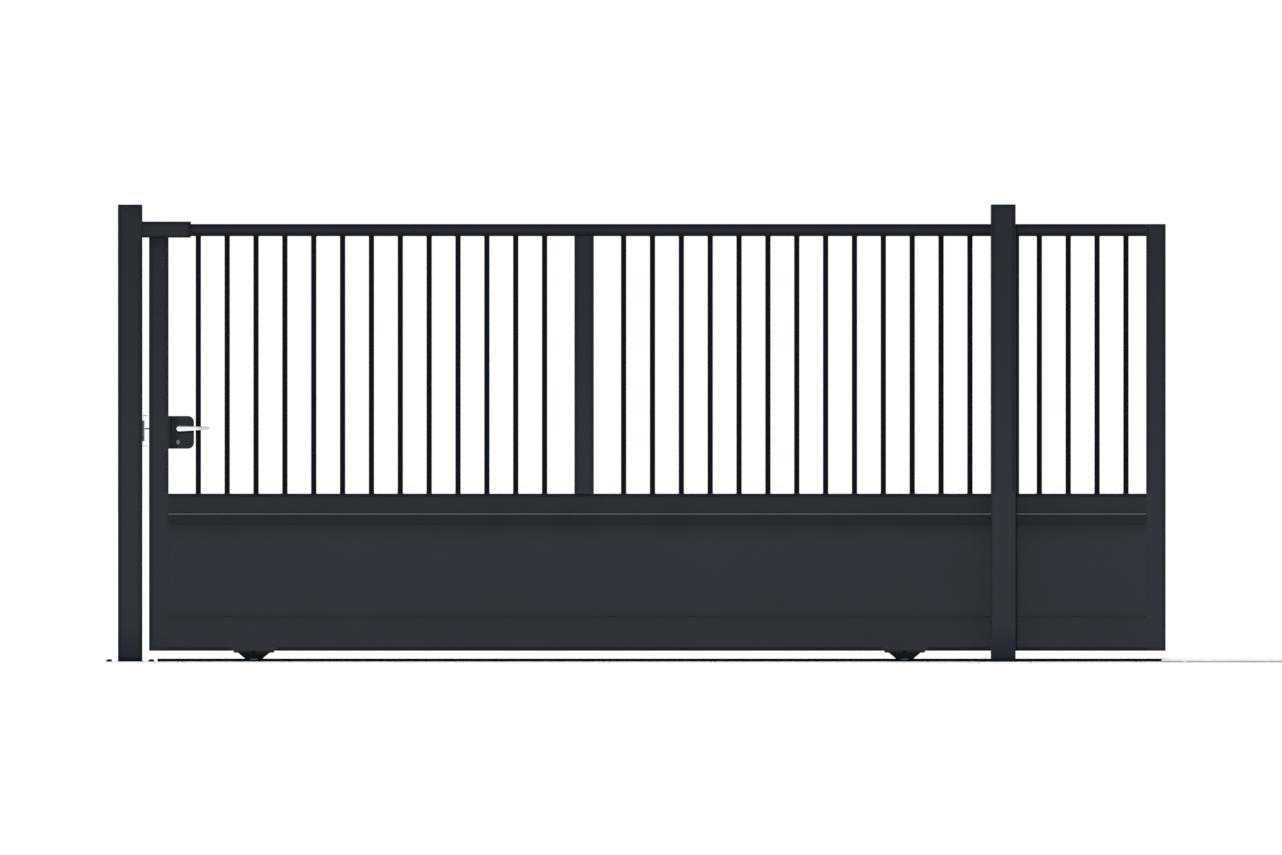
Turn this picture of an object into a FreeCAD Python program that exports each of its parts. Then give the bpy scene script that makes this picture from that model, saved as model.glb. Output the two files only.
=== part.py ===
# Sliding driveway gate: one leaf on two grooved wheels, its posts and its ground track.
# Millimetres. X runs along the gate from the receiving post, -Y is the street side, Z is up.
# The origin is the centre of the underside of the receiving post's base plate.
import FreeCAD, Part
import os

import Sketcher
from FreeCAD import Placement, Rotation, Vector

document = FreeCAD.newDocument("sliding_gate")
sheet = document.addObject("Spreadsheet::Sheet", "Sizes")


# Sizes

class Size:
    """A length that carries its number and the sheet formula that gives it."""

    def __init__(self, number, formula=None):
        self.number = float(number)
        self.formula = formula if formula else repr(float(number))

    def __add__(self, other):
        other = as_size(other)
        return Size(self.number + other.number, f"({self.formula} + {other.formula})")

    def __sub__(self, other):
        other = as_size(other)
        return Size(self.number - other.number, f"({self.formula} - {other.formula})")

    def __mul__(self, other):
        other = as_size(other)
        return Size(self.number * other.number, f"({self.formula} * {other.formula})")

    def __truediv__(self, other):
        other = as_size(other)
        return Size(self.number / other.number, f"({self.formula} / {other.formula})")

    def __neg__(self):
        return Size(-self.number, f"(-1 * {self.formula})")


def as_size(value):
    return value if isinstance(value, Size) else Size(value)


def square_root(value):
    return Size(value.number ** 0.5, f"sqrt({value.formula})")


sheet_row = 0


def size(alias, value, meaning):
    """Put one driving dimension in the sheet and return it."""
    global sheet_row
    sheet_row += 1
    sheet.set(f"A{sheet_row}", meaning)
    sheet.set(f"B{sheet_row}", str(value))
    sheet.setAlias(f"B{sheet_row}", alias)
    return Size(value, f"Sizes.{alias}")


# Posts and their feet
post_spacing = size("post_spacing", 3600, "receiving post centre to guide post centre")
post_width = size("post_width", 100, "side of the square posts")
post_wall = size("post_wall", 4, "wall of the posts")
post_corner = size("post_corner", 8, "outer corner radius of the posts")
post_rise = size("post_rise", 80, "leaf top to the top of the post caps")
cap_thick = size("cap_thick", 4, "welded cap of a post")
cap_edge = size("cap_edge", 1.5, "rounding of a post cap's top edge")
base_side = size("base_side", 210, "side of a base plate")
base_thick = size("base_thick", 8, "thickness of a base plate")
base_corner = size("base_corner", 12, "corner radius of a base plate")
anchor_reach = size("anchor_reach", 87, "base plate centre line to an anchor")
anchor_dia = size("anchor_dia", 12, "anchor stud")
anchor_hole = size("anchor_hole", 14, "hole for an anchor stud")
anchor_rise = size("anchor_rise", 7, "stud end above the base plate")
washer_dia = size("washer_dia", 24, "washer under a nut")
washer_thick = size("washer_thick", 1.6, "washer thickness")
nut_flats = size("nut_flats", 19, "nut across its flats")
nut_height = size("nut_height", 5, "height of the anchors' low nuts")
portal_gap = size("portal_gap", 150, "clear gap between the two guide posts")
base_inner = size("base_inner", 35, "track centre line to a guide base plate")

# Leaf
leaf_gap = size("leaf_gap", 28, "receiving post face to the closed leaf")
leaf_bottom = size("leaf_bottom", 52, "ground to the underside of the leaf")
leaf_depth = size("leaf_depth", 50, "depth of the leaf's tubes")
stile_width = size("stile_width", 80, "width of the upright tubes")
frame_wall = size("frame_wall", 3, "wall of the leaf's tubes")
frame_corner = size("frame_corner", 4, "outer corner radius of the leaf's tubes")
end_cap_thick = size("end_cap_thick", 3, "cap of an end stile")
bottom_rail_height = size("bottom_rail_height", 140, "height of the bottom rail")
panel_height = size("panel_height", 428, "height of the infill panel")
panel_recess = size("panel_recess", 1, "panel face behind the tube faces")
panel_wall = size("panel_wall", 2, "skin of the infill panel")
panel_corner = size("panel_corner", 3, "outer corner radius of the infill panel")
mid_rail_height = size("mid_rail_height", 80, "height of the middle rail")
bar_length = size("bar_length", 1062, "middle rail to top rail")
top_rail_height = size("top_rail_height", 50, "height of the top rail")
bar_dia = size("bar_dia", 22, "round bar")
bar_wall = size("bar_wall", 2, "wall of a round bar")
bar_spacing = size("bar_spacing", 119, "bar centre to bar centre")
main_bars = size("main_bars", 13, "bars in each of the two long bays")
tail_bars = size("tail_bars", 4, "bars in the tail bay")
main_margin = size("main_margin", 163, "stile centre to the first bar of a long bay")
tail_margin = size("tail_margin", 123.5, "stile centre to the first bar of the tail bay")
trim_height = size("trim_height", 47, "drip profile along the head of the panel")
trim_nose = size("trim_nose", 10, "drip profile's nose beyond the panel face")
trim_foot = size("trim_foot", 2, "drip profile's foot beyond the panel face")
trim_round = size("trim_round", 5, "radius of the drip profile's nose")

# Track, wheels and carriages
track_gap = size("track_gap", 7, "base plate to the first end of the track")
gateway_length = size("gateway_length", 4142, "first length of the track, under the closed leaf")
track_run_out = size("track_run_out", 90, "track beyond the rear wheel when the gate is open")
track_flange = size("track_flange", 60, "width of the track's flange")
track_flange_thick = size("track_flange_thick", 4, "thickness of the track's flange")
track_neck = size("track_neck", 10, "width of the track's neck")
track_height = size("track_height", 20, "ground to the top of the track's round crown")
crown_dia = size("crown_dia", 16, "diameter of the track's round crown")
track_hole = size("track_hole", 9, "fixing hole in the track's flange")
track_hole_reach = size("track_hole_reach", 19, "track centre line to a fixing hole")
track_hole_margin = size("track_hole_margin", 95, "end of a track length to its first hole")
gateway_holes = size("gateway_holes", 10, "fixing holes along each side of the first length")
run_back_holes = size("run_back_holes", 6, "fixing holes along each side of the second length")
wheel_dia = size("wheel_dia", 76, "wheel over its rims")
rim_drop = size("rim_drop", 6, "top of the crown to the foot of a wheel's rims")
wheel_width = size("wheel_width", 22, "width of a wheel")
wheel_hub_dia = size("wheel_hub_dia", 30, "hub of a wheel")
wheel_hub_side = size("wheel_hub_side", 1, "hub beyond the rim on each side")
wheel_web_dish = size("wheel_web_dish", 4, "depth of the dish between rim and hub")
wheel_rim = size("wheel_rim", 5, "rim metal outside the dish")
groove_gap = size("groove_gap", 0.3, "running gap between the groove and the crown")
axle_dia = size("axle_dia", 12, "wheel axle")
running_fit = size("running_fit", 0.05, "radial play of a shaft in its hole")
front_wheel = size("front_wheel", 510, "origin to the front wheel's axle")
wheel_spacing = size("wheel_spacing", 2684, "front axle to rear axle")
carriage_toe = size("carriage_toe", 84, "axle to each end of a carriage's flange")
carriage_thick = size("carriage_thick", 6, "thickness of a carriage's flange")
carriage_width = size("carriage_width", 46, "width of a carriage's flange")
carriage_hole = size("carriage_hole", 9, "bolt hole in a carriage's flange")
carriage_hole_x = size("carriage_hole_x", 75, "axle to a bolt hole along the gate")
carriage_hole_y = size("carriage_hole_y", 13, "track centre line to a bolt hole")
cheek_top = size("cheek_top", 68, "axle to the end of a cheek under the flange")
cheek_foot = size("cheek_foot", 36, "axle to the end of a cheek at its foot")
cheek_shoulder = size("cheek_shoulder", 42, "axle to where a cheek leaves the flange's top")
cheek_clear = size("cheek_clear", 19.5, "ground to the foot of a cheek")
cheek_gap = size("cheek_gap", 25, "clear gap between the two cheeks")
cheek_thick = size("cheek_thick", 4, "thickness of a cheek")
cheek_crown = size("cheek_crown", 16, "cheek radius round the axle")
wheel_slot = size("wheel_slot", 96, "length of the slot over a wheel")
wheel_slot_width = size("wheel_slot_width", 40, "width of the slot over a wheel")
axle_head_dia = size("axle_head_dia", 20, "head of a wheel axle")
axle_head_thick = size("axle_head_thick", 2, "thickness of an axle head")

# Portal over the leaf
bridge_width = size("bridge_width", 96, "portal bridge along the gate")
bridge_thick = size("bridge_thick", 8, "thickness of the portal bridge")
bridge_clear = size("bridge_clear", 28, "leaf top to the portal bridge")
roller_dia = size("roller_dia", 40, "guide roller")
roller_height = size("roller_height", 36, "height of a guide roller")
roller_edge = size("roller_edge", 3, "rounding of a guide roller's edges")
roller_gap = size("roller_gap", 0.5, "running gap between a guide roller and the leaf")
roller_pitch = size("roller_pitch", 56, "guide roller to guide roller along the gate")
roller_drop = size("roller_drop", 6, "leaf top to the top of a roller")
spindle_head_dia = size("spindle_head_dia", 22, "head under a guide roller")
spindle_head_thick = size("spindle_head_thick", 4, "thickness of that head")
spindle_nut_height = size("spindle_nut_height", 10, "height of a roller spindle's nut")
spindle_end = size("spindle_end", 5, "roller spindle beyond its nut")
seat_gap = size("seat_gap", 0.2, "play between a turning part and its seat")

# Catcher on the receiving post
catcher_reach = size("catcher_reach", 200, "post face to the mouth of the catcher")
catcher_height = size("catcher_height", 66, "height of the catcher's sides")
catcher_wall = size("catcher_wall", 4, "plate of the catcher")
catcher_side_gap = size("catcher_side_gap", 6, "gap between the catcher and the leaf's faces")
catcher_top_gap = size("catcher_top_gap", 6, "gap between the catcher and the leaf's top")
catcher_corner = size("catcher_corner", 5, "lower corner radius of the catcher's mouth")

# Lock, lever and keep
case_width = size("case_width", 105, "lock case along the gate")
case_height = size("case_height", 135, "height of the lock case")
case_depth = size("case_depth", 42, "depth of the lock case")
case_corner = size("case_corner", 25, "large corners of the lock case")
case_edge = size("case_edge", 2, "rounding of the lock case's edges")
forend_thick = size("forend_thick", 6, "plate between the stile and the lock case")
lock_height = size("lock_height", 953, "ground to the middle of the lock case")
spindle_inset = size("spindle_inset", 45, "stile to the lever's spindle")
spindle_rise = size("spindle_rise", 15, "middle of the case to the spindle")
spindle_dia = size("spindle_dia", 9, "lever spindle")
lever_reach = size("lever_reach", 122, "spindle to the tip of the lever")
lever_root = size("lever_root", 23, "height of the lever at the spindle")
lever_tip = size("lever_tip", 12, "height of the lever at its tip")
lever_rise = size("lever_rise", 2, "middle of the lever's tip above the spindle")
lever_thick = size("lever_thick", 12, "depth of the lever's grip")
lever_offset = size("lever_offset", 32, "case face to the grip")
lever_neck_dia = size("lever_neck_dia", 17, "neck of the lever")
lever_edge = size("lever_edge", 2.5, "rounding of the lever's edges")
cylinder_drop = size("cylinder_drop", 53.5, "spindle down to the key cylinder")
cylinder_shift = size("cylinder_shift", 5, "spindle across to the key cylinder")
cylinder_dia = size("cylinder_dia", 15, "key cylinder's round part")
cylinder_stem = size("cylinder_stem", 10, "key cylinder's lower stem")
cylinder_height = size("cylinder_height", 19, "key cylinder's height")
cylinder_proud = size("cylinder_proud", 6, "key cylinder beyond the case")
tongue_height = size("tongue_height", 6, "height of the latch tongue")
tongue_width = size("tongue_width", 16, "width of the latch tongue")
tongue_entry = size("tongue_entry", 18, "tongue beyond the stile")
tongue_tail = size("tongue_tail", 16, "tongue inside the lock case")
tongue_play = size("tongue_play", 0.5, "play of the tongue in its slots")
tongue_throw = size("tongue_throw", 18, "travel of the tongue")
keep_reach = size("keep_reach", 23, "post face to the face of the keep")
keep_height = size("keep_height", 128, "height of the keep")
keep_depth = size("keep_depth", 44, "depth of the keep")
keep_corner = size("keep_corner", 6, "corner radius of the keep")
keep_rise = size("keep_rise", 6, "middle of the lock case up to the middle of the keep")
keep_play = size("keep_play", 5, "gap round the tongue in the keep")
keep_floor_gap = size("keep_floor_gap", 0.3, "tip of the tongue to the floor of the keep")
lug_height = size("lug_height", 85, "height of the keep's lugs")
lug_reach = size("lug_reach", 9, "post face to the edge of the keep's lugs")
lug_thick = size("lug_thick", 4, "thickness of the keep's lugs")
lever_stop_gap = size("lever_stop_gap", 15, "lever tip to the guide post when the gate is open")

stop_height = size("stop_height", 40, "height of the track's end stop")
stop_width = size("stop_width", 50, "width of the track's end stop")
stop_thick = size("stop_thick", 8, "plate of the track's end stop")
stop_foot = size("stop_foot", 60, "foot of the end stop along the track")
stop_brace = size("stop_brace", 8, "end stop's brace back from its edges")
stop_hole_reach = size("stop_hole_reach", 17, "track centre line to a hole of the end stop")
buffer_thick = size("buffer_thick", 12, "rubber buffer on the end stop")
buffer_dia = size("buffer_dia", 18, "diameter of that buffer")

# Places worked out from the sizes
post_face = post_width / 2
left_end = post_face + leaf_gap
stile_centre = left_end + stile_width / 2
main_bay = (main_bars - 1) * bar_spacing + main_margin * 2
tail_bay = (tail_bars - 1) * bar_spacing + tail_margin * 2
middle_stile_centre = stile_centre + main_bay
third_stile_centre = middle_stile_centre + main_bay
tail_stile_centre = third_stile_centre + tail_bay
infill_start = stile_centre + stile_width / 2
infill_length = main_bay * 2 + tail_bay - stile_width
panel_bottom = leaf_bottom + bottom_rail_height
mid_rail_bottom = panel_bottom + panel_height
bars_bottom = mid_rail_bottom + mid_rail_height
top_rail_bottom = bars_bottom + bar_length
leaf_top = top_rail_bottom + top_rail_height
leaf_height = leaf_top - leaf_bottom
leaf_half = leaf_depth / 2
post_height = leaf_top + post_rise
guide_post_y = portal_gap / 2 + post_width / 2
guide_base_y = base_inner + base_side / 2
spindle_x = infill_start + spindle_inset
spindle_z = lock_height + spindle_rise
travel = post_spacing - post_face - spindle_x - lever_reach - lever_stop_gap
rear_wheel = front_wheel + wheel_spacing
track_start = base_side / 2 + track_gap
track_end = rear_wheel + travel + track_run_out
run_back_start = track_start + gateway_length
run_back_length = track_end - run_back_start
crown_centre = track_height - crown_dia / 2
groove_radius = crown_dia / 2 + groove_gap
axle_z = track_height - rim_drop + wheel_dia / 2
bridge_bottom = leaf_top + bridge_clear
nut_radius = nut_flats / square_root(Size(3))


# Ways of making a piece

same_place = 1e-6

parts = []


def keep_part(piece, label):
    piece.Label = label
    parts.append(piece)
    return piece


def bind(piece, **places):
    """Bind properties to sheet formulas; x, y and z stand for the placement."""
    names = {"x": "Placement.Base.x", "y": "Placement.Base.y", "z": "Placement.Base.z"}
    for key, value in places.items():
        piece.setExpression(names.get(key, key), as_size(value).formula)


def new_body(label):
    body = document.addObject("PartDesign::Body", label)
    return keep_part(body, label)


def origin_feature(body, role):
    return next(item for item in body.Origin.OriginFeatures if item.Role == role)


def new_sketch(body, plane, offset=None):
    """A sketch on one of the body's origin planes, raised by offset along its normal."""
    sketch = body.newObject("Sketcher::SketchObject", f"{body.Name}_sketch")
    sketch.AttachmentSupport = [(origin_feature(body, plane), "")]
    sketch.MapMode = "FlatFace"
    if offset is not None:
        sketch.setExpression("AttachmentOffset.Base.z", as_size(offset).formula)
    return sketch


def hold(sketch, kind, arguments, value):
    """Add one dimension to a sketch and bind it to its formula."""
    index = sketch.addConstraint(Sketcher.Constraint(kind, *arguments, value.number))
    name = f"{kind}_{index}"
    sketch.renameConstraint(index, name)
    sketch.setExpression(f"Constraints.{name}", value.formula)


def add_circle(sketch, centre_x, centre_y, diameter):
    centre_x, centre_y, diameter = as_size(centre_x), as_size(centre_y), as_size(diameter)
    centre = Vector(centre_x.number, centre_y.number, 0)
    index = sketch.addGeometry(Part.Circle(centre, Vector(0, 0, 1), diameter.number / 2))
    hold(sketch, "DistanceX", (-1, 1, index, 3), centre_x)
    hold(sketch, "DistanceY", (-1, 1, index, 3), centre_y)
    hold(sketch, "Radius", (index,), diameter / 2)


def add_outline(sketch, points, arcs=None):
    """A closed outline through the points; arcs gives (radius, bulge) after a point's index.

    A bulge of 1 puts the short arc to the right of the way to the next point, 2 the long one,
    and a negative bulge puts it to the left. A half circle is held by its centre."""
    arcs = arcs or {}
    points = [(as_size(x), as_size(y)) for x, y in points]
    ends = []
    for number, (start_x, start_y) in enumerate(points):
        end_x, end_y = points[(number + 1) % len(points)]
        start = Vector(start_x.number, start_y.number, 0)
        end = Vector(end_x.number, end_y.number, 0)
        if number in arcs:
            radius, bulge = as_size(arcs[number][0]), arcs[number][1]
            half = (end - start) / 2
            side = Vector(half.y, -half.x, 0).normalize()
            depth = max(radius.number ** 2 - half.Length ** 2, 0) ** 0.5
            rise = radius.number - depth if abs(bulge) == 1 else radius.number + depth
            middle = start + half + side * (rise if bulge > 0 else -rise)
            first, last = (start, end) if bulge > 0 else (end, start)
            index = sketch.addGeometry(Part.Arc(first, middle, last))
            ends.append((index, 1, 2) if bulge > 0 else (index, 2, 1))
            if abs(radius.number - half.Length) > same_place:
                hold(sketch, "Radius", (index,), radius)
            elif abs(half.x) < abs(half.y):
                hold(sketch, "DistanceX", (-1, 1, index, 3), start_x)
            else:
                hold(sketch, "DistanceY", (-1, 1, index, 3), start_y)
        else:
            index = sketch.addGeometry(Part.LineSegment(start, end))
            ends.append((index, 1, 2))
    for number, (index, first, last) in enumerate(ends):
        next_index, next_first, _ = ends[(number + 1) % len(ends)]
        sketch.addConstraint(Sketcher.Constraint("Coincident", index, last, next_index, next_first))
        hold(sketch, "DistanceX", (-1, 1, index, first), points[number][0])
        hold(sketch, "DistanceY", (-1, 1, index, first), points[number][1])


def add_rectangle(sketch, left, bottom, width, height, corner=None):
    """A rectangle, with one radius at its corners where one is given."""
    left, bottom = as_size(left), as_size(bottom)
    right, top = left + width, bottom + height
    if corner is None:
        add_outline(sketch, [(left, bottom), (right, bottom), (right, top), (left, top)])
        return
    points = [(left + corner, bottom), (right - corner, bottom), (right, bottom + corner),
              (right, top - corner), (right - corner, top), (left + corner, top),
              (left, top - corner), (left, bottom + corner)]
    add_outline(sketch, points, {number: (corner, 1) for number in (1, 3, 5, 7)})


def add_centred(sketch, width, height, corner=None):
    add_rectangle(sketch, -width / 2, -height / 2, width, height, corner)


def pad(body, sketch, length, side="One side", reverse=False):
    feature = body.newObject("PartDesign::Pad", f"{body.Name}_pad")
    feature.Profile = sketch
    feature.SideType = side
    feature.Reversed = reverse
    feature.setExpression("Length", as_size(length).formula)
    document.recompute()
    return feature


def pocket(body, sketch, length=None, side="Symmetric", reverse=False):
    """Cut the sketch out of the body, right through where no length is given."""
    before = body.Shape.Volume
    feature = body.newObject("PartDesign::Pocket", f"{body.Name}_pocket")
    feature.Profile = sketch
    feature.SideType = side
    feature.Reversed = reverse
    if length is None:
        feature.Type = "ThroughAll"
    else:
        feature.setExpression("Length", as_size(length).formula)
    document.recompute()
    if not body.Shape.Volume < before:
        raise ValueError(f"{feature.Name} cuts nothing")
    return feature


def round_rims(body, radius, axis, levels, ends=2):
    """Fillet the edges that lie level at the given places on an axis; full circles have one end."""
    base = body.Tip
    names = []
    for number, edge in enumerate(base.Shape.Edges, 1):
        places = [getattr(vertex.Point, axis) for vertex in edge.Vertexes]
        for level in levels:
            if len(places) == ends and all(abs(place - level.number) < same_place for place in places):
                names.append(f"Edge{number}")
    feature = body.newObject("PartDesign::Fillet", f"{body.Name}_fillet")
    feature.Base = (base, names)
    feature.setExpression("Radius", as_size(radius).formula)
    document.recompute()
    return feature


def repeat(body, originals, axis, length, count):
    """Repeat features of a body along one of its axes."""
    feature = body.newObject("PartDesign::LinearPattern", f"{body.Name}_row")
    feature.Originals = originals
    feature.Direction = (origin_feature(body, axis), [""])
    feature.setExpression("Length", as_size(length).formula)
    feature.setExpression("Occurrences", as_size(count).formula)
    body.Tip = feature
    document.recompute()
    return feature


def upright_tube(label, width, depth, wall, corner, length):
    """A tube that stands on its own origin."""
    body = new_body(label)
    sketch = new_sketch(body, "XY_Plane")
    add_centred(sketch, width, depth, corner)
    add_centred(sketch, width - wall * 2, depth - wall * 2, corner - wall / 2)
    pad(body, sketch, length)
    return body


def level_tube(label, depth, height, wall, corner, length):
    """A tube along X whose underside is at its own origin."""
    body = new_body(label)
    sketch = new_sketch(body, "YZ_Plane")
    add_rectangle(sketch, -depth / 2, 0, depth, height, corner)
    add_rectangle(sketch, -depth / 2 + wall, wall, depth - wall * 2, height - wall * 2,
                  corner - wall / 2)
    pad(body, sketch, length)
    return body


def plate(label, width, depth, corner, thick):
    body = new_body(label)
    sketch = new_sketch(body, "XY_Plane")
    add_centred(sketch, width, depth, corner)
    pad(body, sketch, thick)
    return body


def helper(kind, name, **sizes):
    """A primitive that is only a step towards a sub-part."""
    piece = document.addObject(kind, name)
    bind(piece, **sizes)
    return piece


def cylinder(name, diameter, height, x=0, y=0, z=0, along="z"):
    """A cylinder; along y it runs from y towards +Y, along x towards +X."""
    piece = helper("Part::Cylinder", name, Radius=as_size(diameter) / 2, Height=height)
    if along == "y":
        piece.Placement = Placement(Vector(), Rotation(Vector(1, 0, 0), -90))
    if along == "x":
        piece.Placement = Placement(Vector(), Rotation(Vector(0, 1, 0), 90))
    bind(piece, x=x, y=y, z=z)
    return piece


def joined(label, pieces):
    fuse = document.addObject("Part::MultiFuse", label)
    fuse.Shapes = pieces
    fuse.Refine = True
    return fuse


def gathered(label, pieces):
    group = document.addObject("Part::Compound", label)
    group.Links = pieces
    return keep_part(group, label)


# Posts, caps and base plates

def make_post(name, x, y):
    post = upright_tube(name, post_width, post_width, post_wall, post_corner,
                        post_height - base_thick - cap_thick)
    bind(post, x=x, y=y, z=base_thick)
    cap = plate(f"{name}_cap", post_width, post_width, post_corner, cap_thick)
    round_rims(cap, cap_edge, "z", [cap_thick])
    bind(cap, x=x, y=y, z=post_height - cap_thick)


def make_base(name, x, y):
    """A base plate round (x, y) with a hole for an anchor near each corner."""
    body = plate(name, base_side, base_side, base_corner, base_thick)
    holes = new_sketch(body, "XY_Plane")
    for row in (-1, 1):
        for side in (-1, 1):
            add_circle(holes, anchor_reach * side, anchor_reach * row, anchor_hole)
    pocket(body, holes)
    bind(body, x=x, y=y)


def make_anchor(name, x, y):
    """A stud that starts just above the ground, with its washer and nut."""
    stud = cylinder(f"{name}_stud", anchor_dia, base_thick + anchor_rise - seat_gap, x, y, seat_gap)
    washer = cylinder(f"{name}_washer", washer_dia, washer_thick, x, y, base_thick)
    nut = helper("Part::Prism", f"{name}_nut", Circumradius=nut_radius,
                 Height=nut_height, x=x, y=y, z=base_thick + washer_thick)
    return joined(name, [stud, washer, nut])


def make_posts():
    make_post("receiving_post", 0, 0)
    make_post("guide_post_front", post_spacing, -guide_post_y)
    make_post("guide_post_rear", post_spacing, guide_post_y)
    make_base("receiving_base_plate", 0, 0)
    make_base("guide_base_plate_front", post_spacing, -guide_base_y)
    make_base("guide_base_plate_rear", post_spacing, guide_base_y)
    for group, x, centres in (("receiving_anchors", as_size(0), [as_size(0)]),
                              ("guide_anchors", post_spacing, [-guide_base_y, guide_base_y])):
        anchors = []
        for centre in centres:
            for side in (-1, 1):
                for row in (-1, 1):
                    name = f"{group}_{len(anchors) + 1}"
                    anchors.append(make_anchor(name, x + anchor_reach * side,
                                               centre + anchor_reach * row))
        gathered(group, anchors)


# Leaf frame

def make_leaf():
    for name, centre in (("stile_receiving", stile_centre), ("stile_tail", tail_stile_centre)):
        body = upright_tube(name, stile_width, leaf_depth, frame_wall, frame_corner,
                            leaf_height - end_cap_thick * 2)
        bind(body, x=centre, z=leaf_bottom + end_cap_thick)
        if name == "stile_receiving":
            mouth = new_sketch(body, "YZ_Plane")
            add_rectangle(mouth, -tongue_width / 2 - tongue_play,
                          spindle_z - leaf_bottom - end_cap_thick - tongue_height / 2 - tongue_play,
                          tongue_width + tongue_play * 2, tongue_height + tongue_play * 2)
            pocket(body, mouth)
    for name, centre in (("stile_middle", middle_stile_centre),
                         ("stile_third", third_stile_centre)):
        body = upright_tube(name, stile_width, leaf_depth, frame_wall, frame_corner, bar_length)
        bind(body, x=centre, z=bars_bottom)
    for name, bottom, height in (("top_rail", top_rail_bottom, top_rail_height),
                                 ("mid_rail", mid_rail_bottom, mid_rail_height)):
        body = level_tube(name, leaf_depth, height, frame_wall, frame_corner, infill_length)
        bind(body, x=infill_start, z=bottom)
    caps = new_body("stile_caps")
    for level in (0, 1):
        sketch = new_sketch(caps, "XY_Plane", (leaf_height - end_cap_thick) * level)
        for centre in (0, tail_stile_centre - stile_centre):
            add_rectangle(sketch, as_size(centre) - stile_width / 2, -leaf_half, stile_width,
                          leaf_depth, frame_corner)
        pad(caps, sketch, end_cap_thick)
    bind(caps, x=stile_centre, z=leaf_bottom)


def make_bottom_rail():
    """The bottom rail, slotted underneath over each wheel."""
    body = level_tube("bottom_rail", leaf_depth, bottom_rail_height, frame_wall, frame_corner,
                      infill_length)
    slots = new_sketch(body, "XY_Plane")
    for wheel in (front_wheel, rear_wheel):
        add_rectangle(slots, wheel - infill_start - wheel_slot / 2, -wheel_slot_width / 2,
                      wheel_slot, wheel_slot_width)
    pocket(body, slots, frame_wall * 2)
    bind(body, x=infill_start, z=leaf_bottom)


def make_bars(name, start, margin, count):
    body = new_body(name)
    sketch = new_sketch(body, "XY_Plane")
    add_circle(sketch, 0, 0, bar_dia)
    add_circle(sketch, 0, 0, bar_dia - bar_wall * 2)
    bar = pad(body, sketch, bar_length)
    repeat(body, [bar], "X_Axis", (count - 1) * bar_spacing, count)
    bind(body, x=start + margin, z=bars_bottom)


def make_infill():
    make_bars("bars_front_bay", stile_centre, main_margin, main_bars)
    make_bars("bars_middle_bay", middle_stile_centre, main_margin, main_bars)
    make_bars("bars_tail_bay", third_stile_centre, tail_margin, tail_bars)
    panel = level_tube("infill_panel", leaf_depth - panel_recess * 2, panel_height, panel_wall,
                       panel_corner, infill_length)
    bind(panel, x=infill_start, z=panel_bottom)
    face = leaf_half - panel_recess
    body = new_body("panel_trim")
    sketch = new_sketch(body, "YZ_Plane")
    for side in (-1, 1):
        nose = face + trim_nose
        points = [(face, 0), (face + trim_foot, 0), (nose, trim_height - trim_round),
                  (nose - trim_round, trim_height), (face, trim_height)]
        add_outline(sketch, [(x * side, z) for x, z in points], {2: (trim_round, side)})
    pad(body, sketch, infill_length)
    bind(body, x=infill_start, z=mid_rail_bottom - trim_height)


# Track, carriages and wheels

def make_track():
    for name, start, length, count in (
            ("track_gateway", track_start, gateway_length, gateway_holes),
            ("track_run_back", run_back_start, run_back_length, run_back_holes)):
        body = new_body(name)
        sketch = new_sketch(body, "YZ_Plane")
        neck = track_neck / 2
        # The neck meets the round crown where the crown is as wide as the neck.
        shoulder = crown_centre - square_root(crown_dia * crown_dia - track_neck * track_neck) / 2
        points = [(-track_flange / 2, 0), (track_flange / 2, 0),
                  (track_flange / 2, track_flange_thick), (neck, track_flange_thick),
                  (neck, shoulder), (-neck, shoulder), (-neck, track_flange_thick),
                  (-track_flange / 2, track_flange_thick)]
        add_outline(sketch, points, {4: (crown_dia / 2, 2)})
        pad(body, sketch, length)
        holes = new_sketch(body, "XY_Plane")
        for side in (-1, 1):
            add_circle(holes, track_hole_margin, track_hole_reach * side, track_hole)
        hole = pocket(body, holes)
        repeat(body, [hole], "X_Axis", length - track_hole_margin * 2, count)
        bind(body, x=start)
    stop = new_body("track_stop")
    sketch = new_sketch(stop, "XZ_Plane")
    add_outline(sketch, [(0, 0), (stop_foot, 0), (stop_foot, stop_thick), (stop_thick, stop_thick),
                         (stop_thick, stop_height), (0, stop_height)])
    pad(stop, sketch, stop_width, side="Symmetric")
    brace = new_sketch(stop, "XZ_Plane")
    add_outline(brace, [(stop_thick, stop_thick), (stop_foot - stop_brace, stop_thick),
                        (stop_thick, stop_height - stop_brace)])
    pad(stop, brace, stop_thick, side="Symmetric")
    holes = new_sketch(stop, "XY_Plane")
    for side in (-1, 1):
        add_circle(holes, (stop_thick + stop_foot) / 2, stop_hole_reach * side, track_hole)
    pocket(stop, holes)
    bind(stop, x=track_end + seat_gap)
    buffer = cylinder("track_buffer", buffer_dia, buffer_thick, track_end + seat_gap - buffer_thick,
                      0, stop_height - buffer_dia / 2, along="x")
    keep_part(buffer, "track_buffer")


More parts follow.
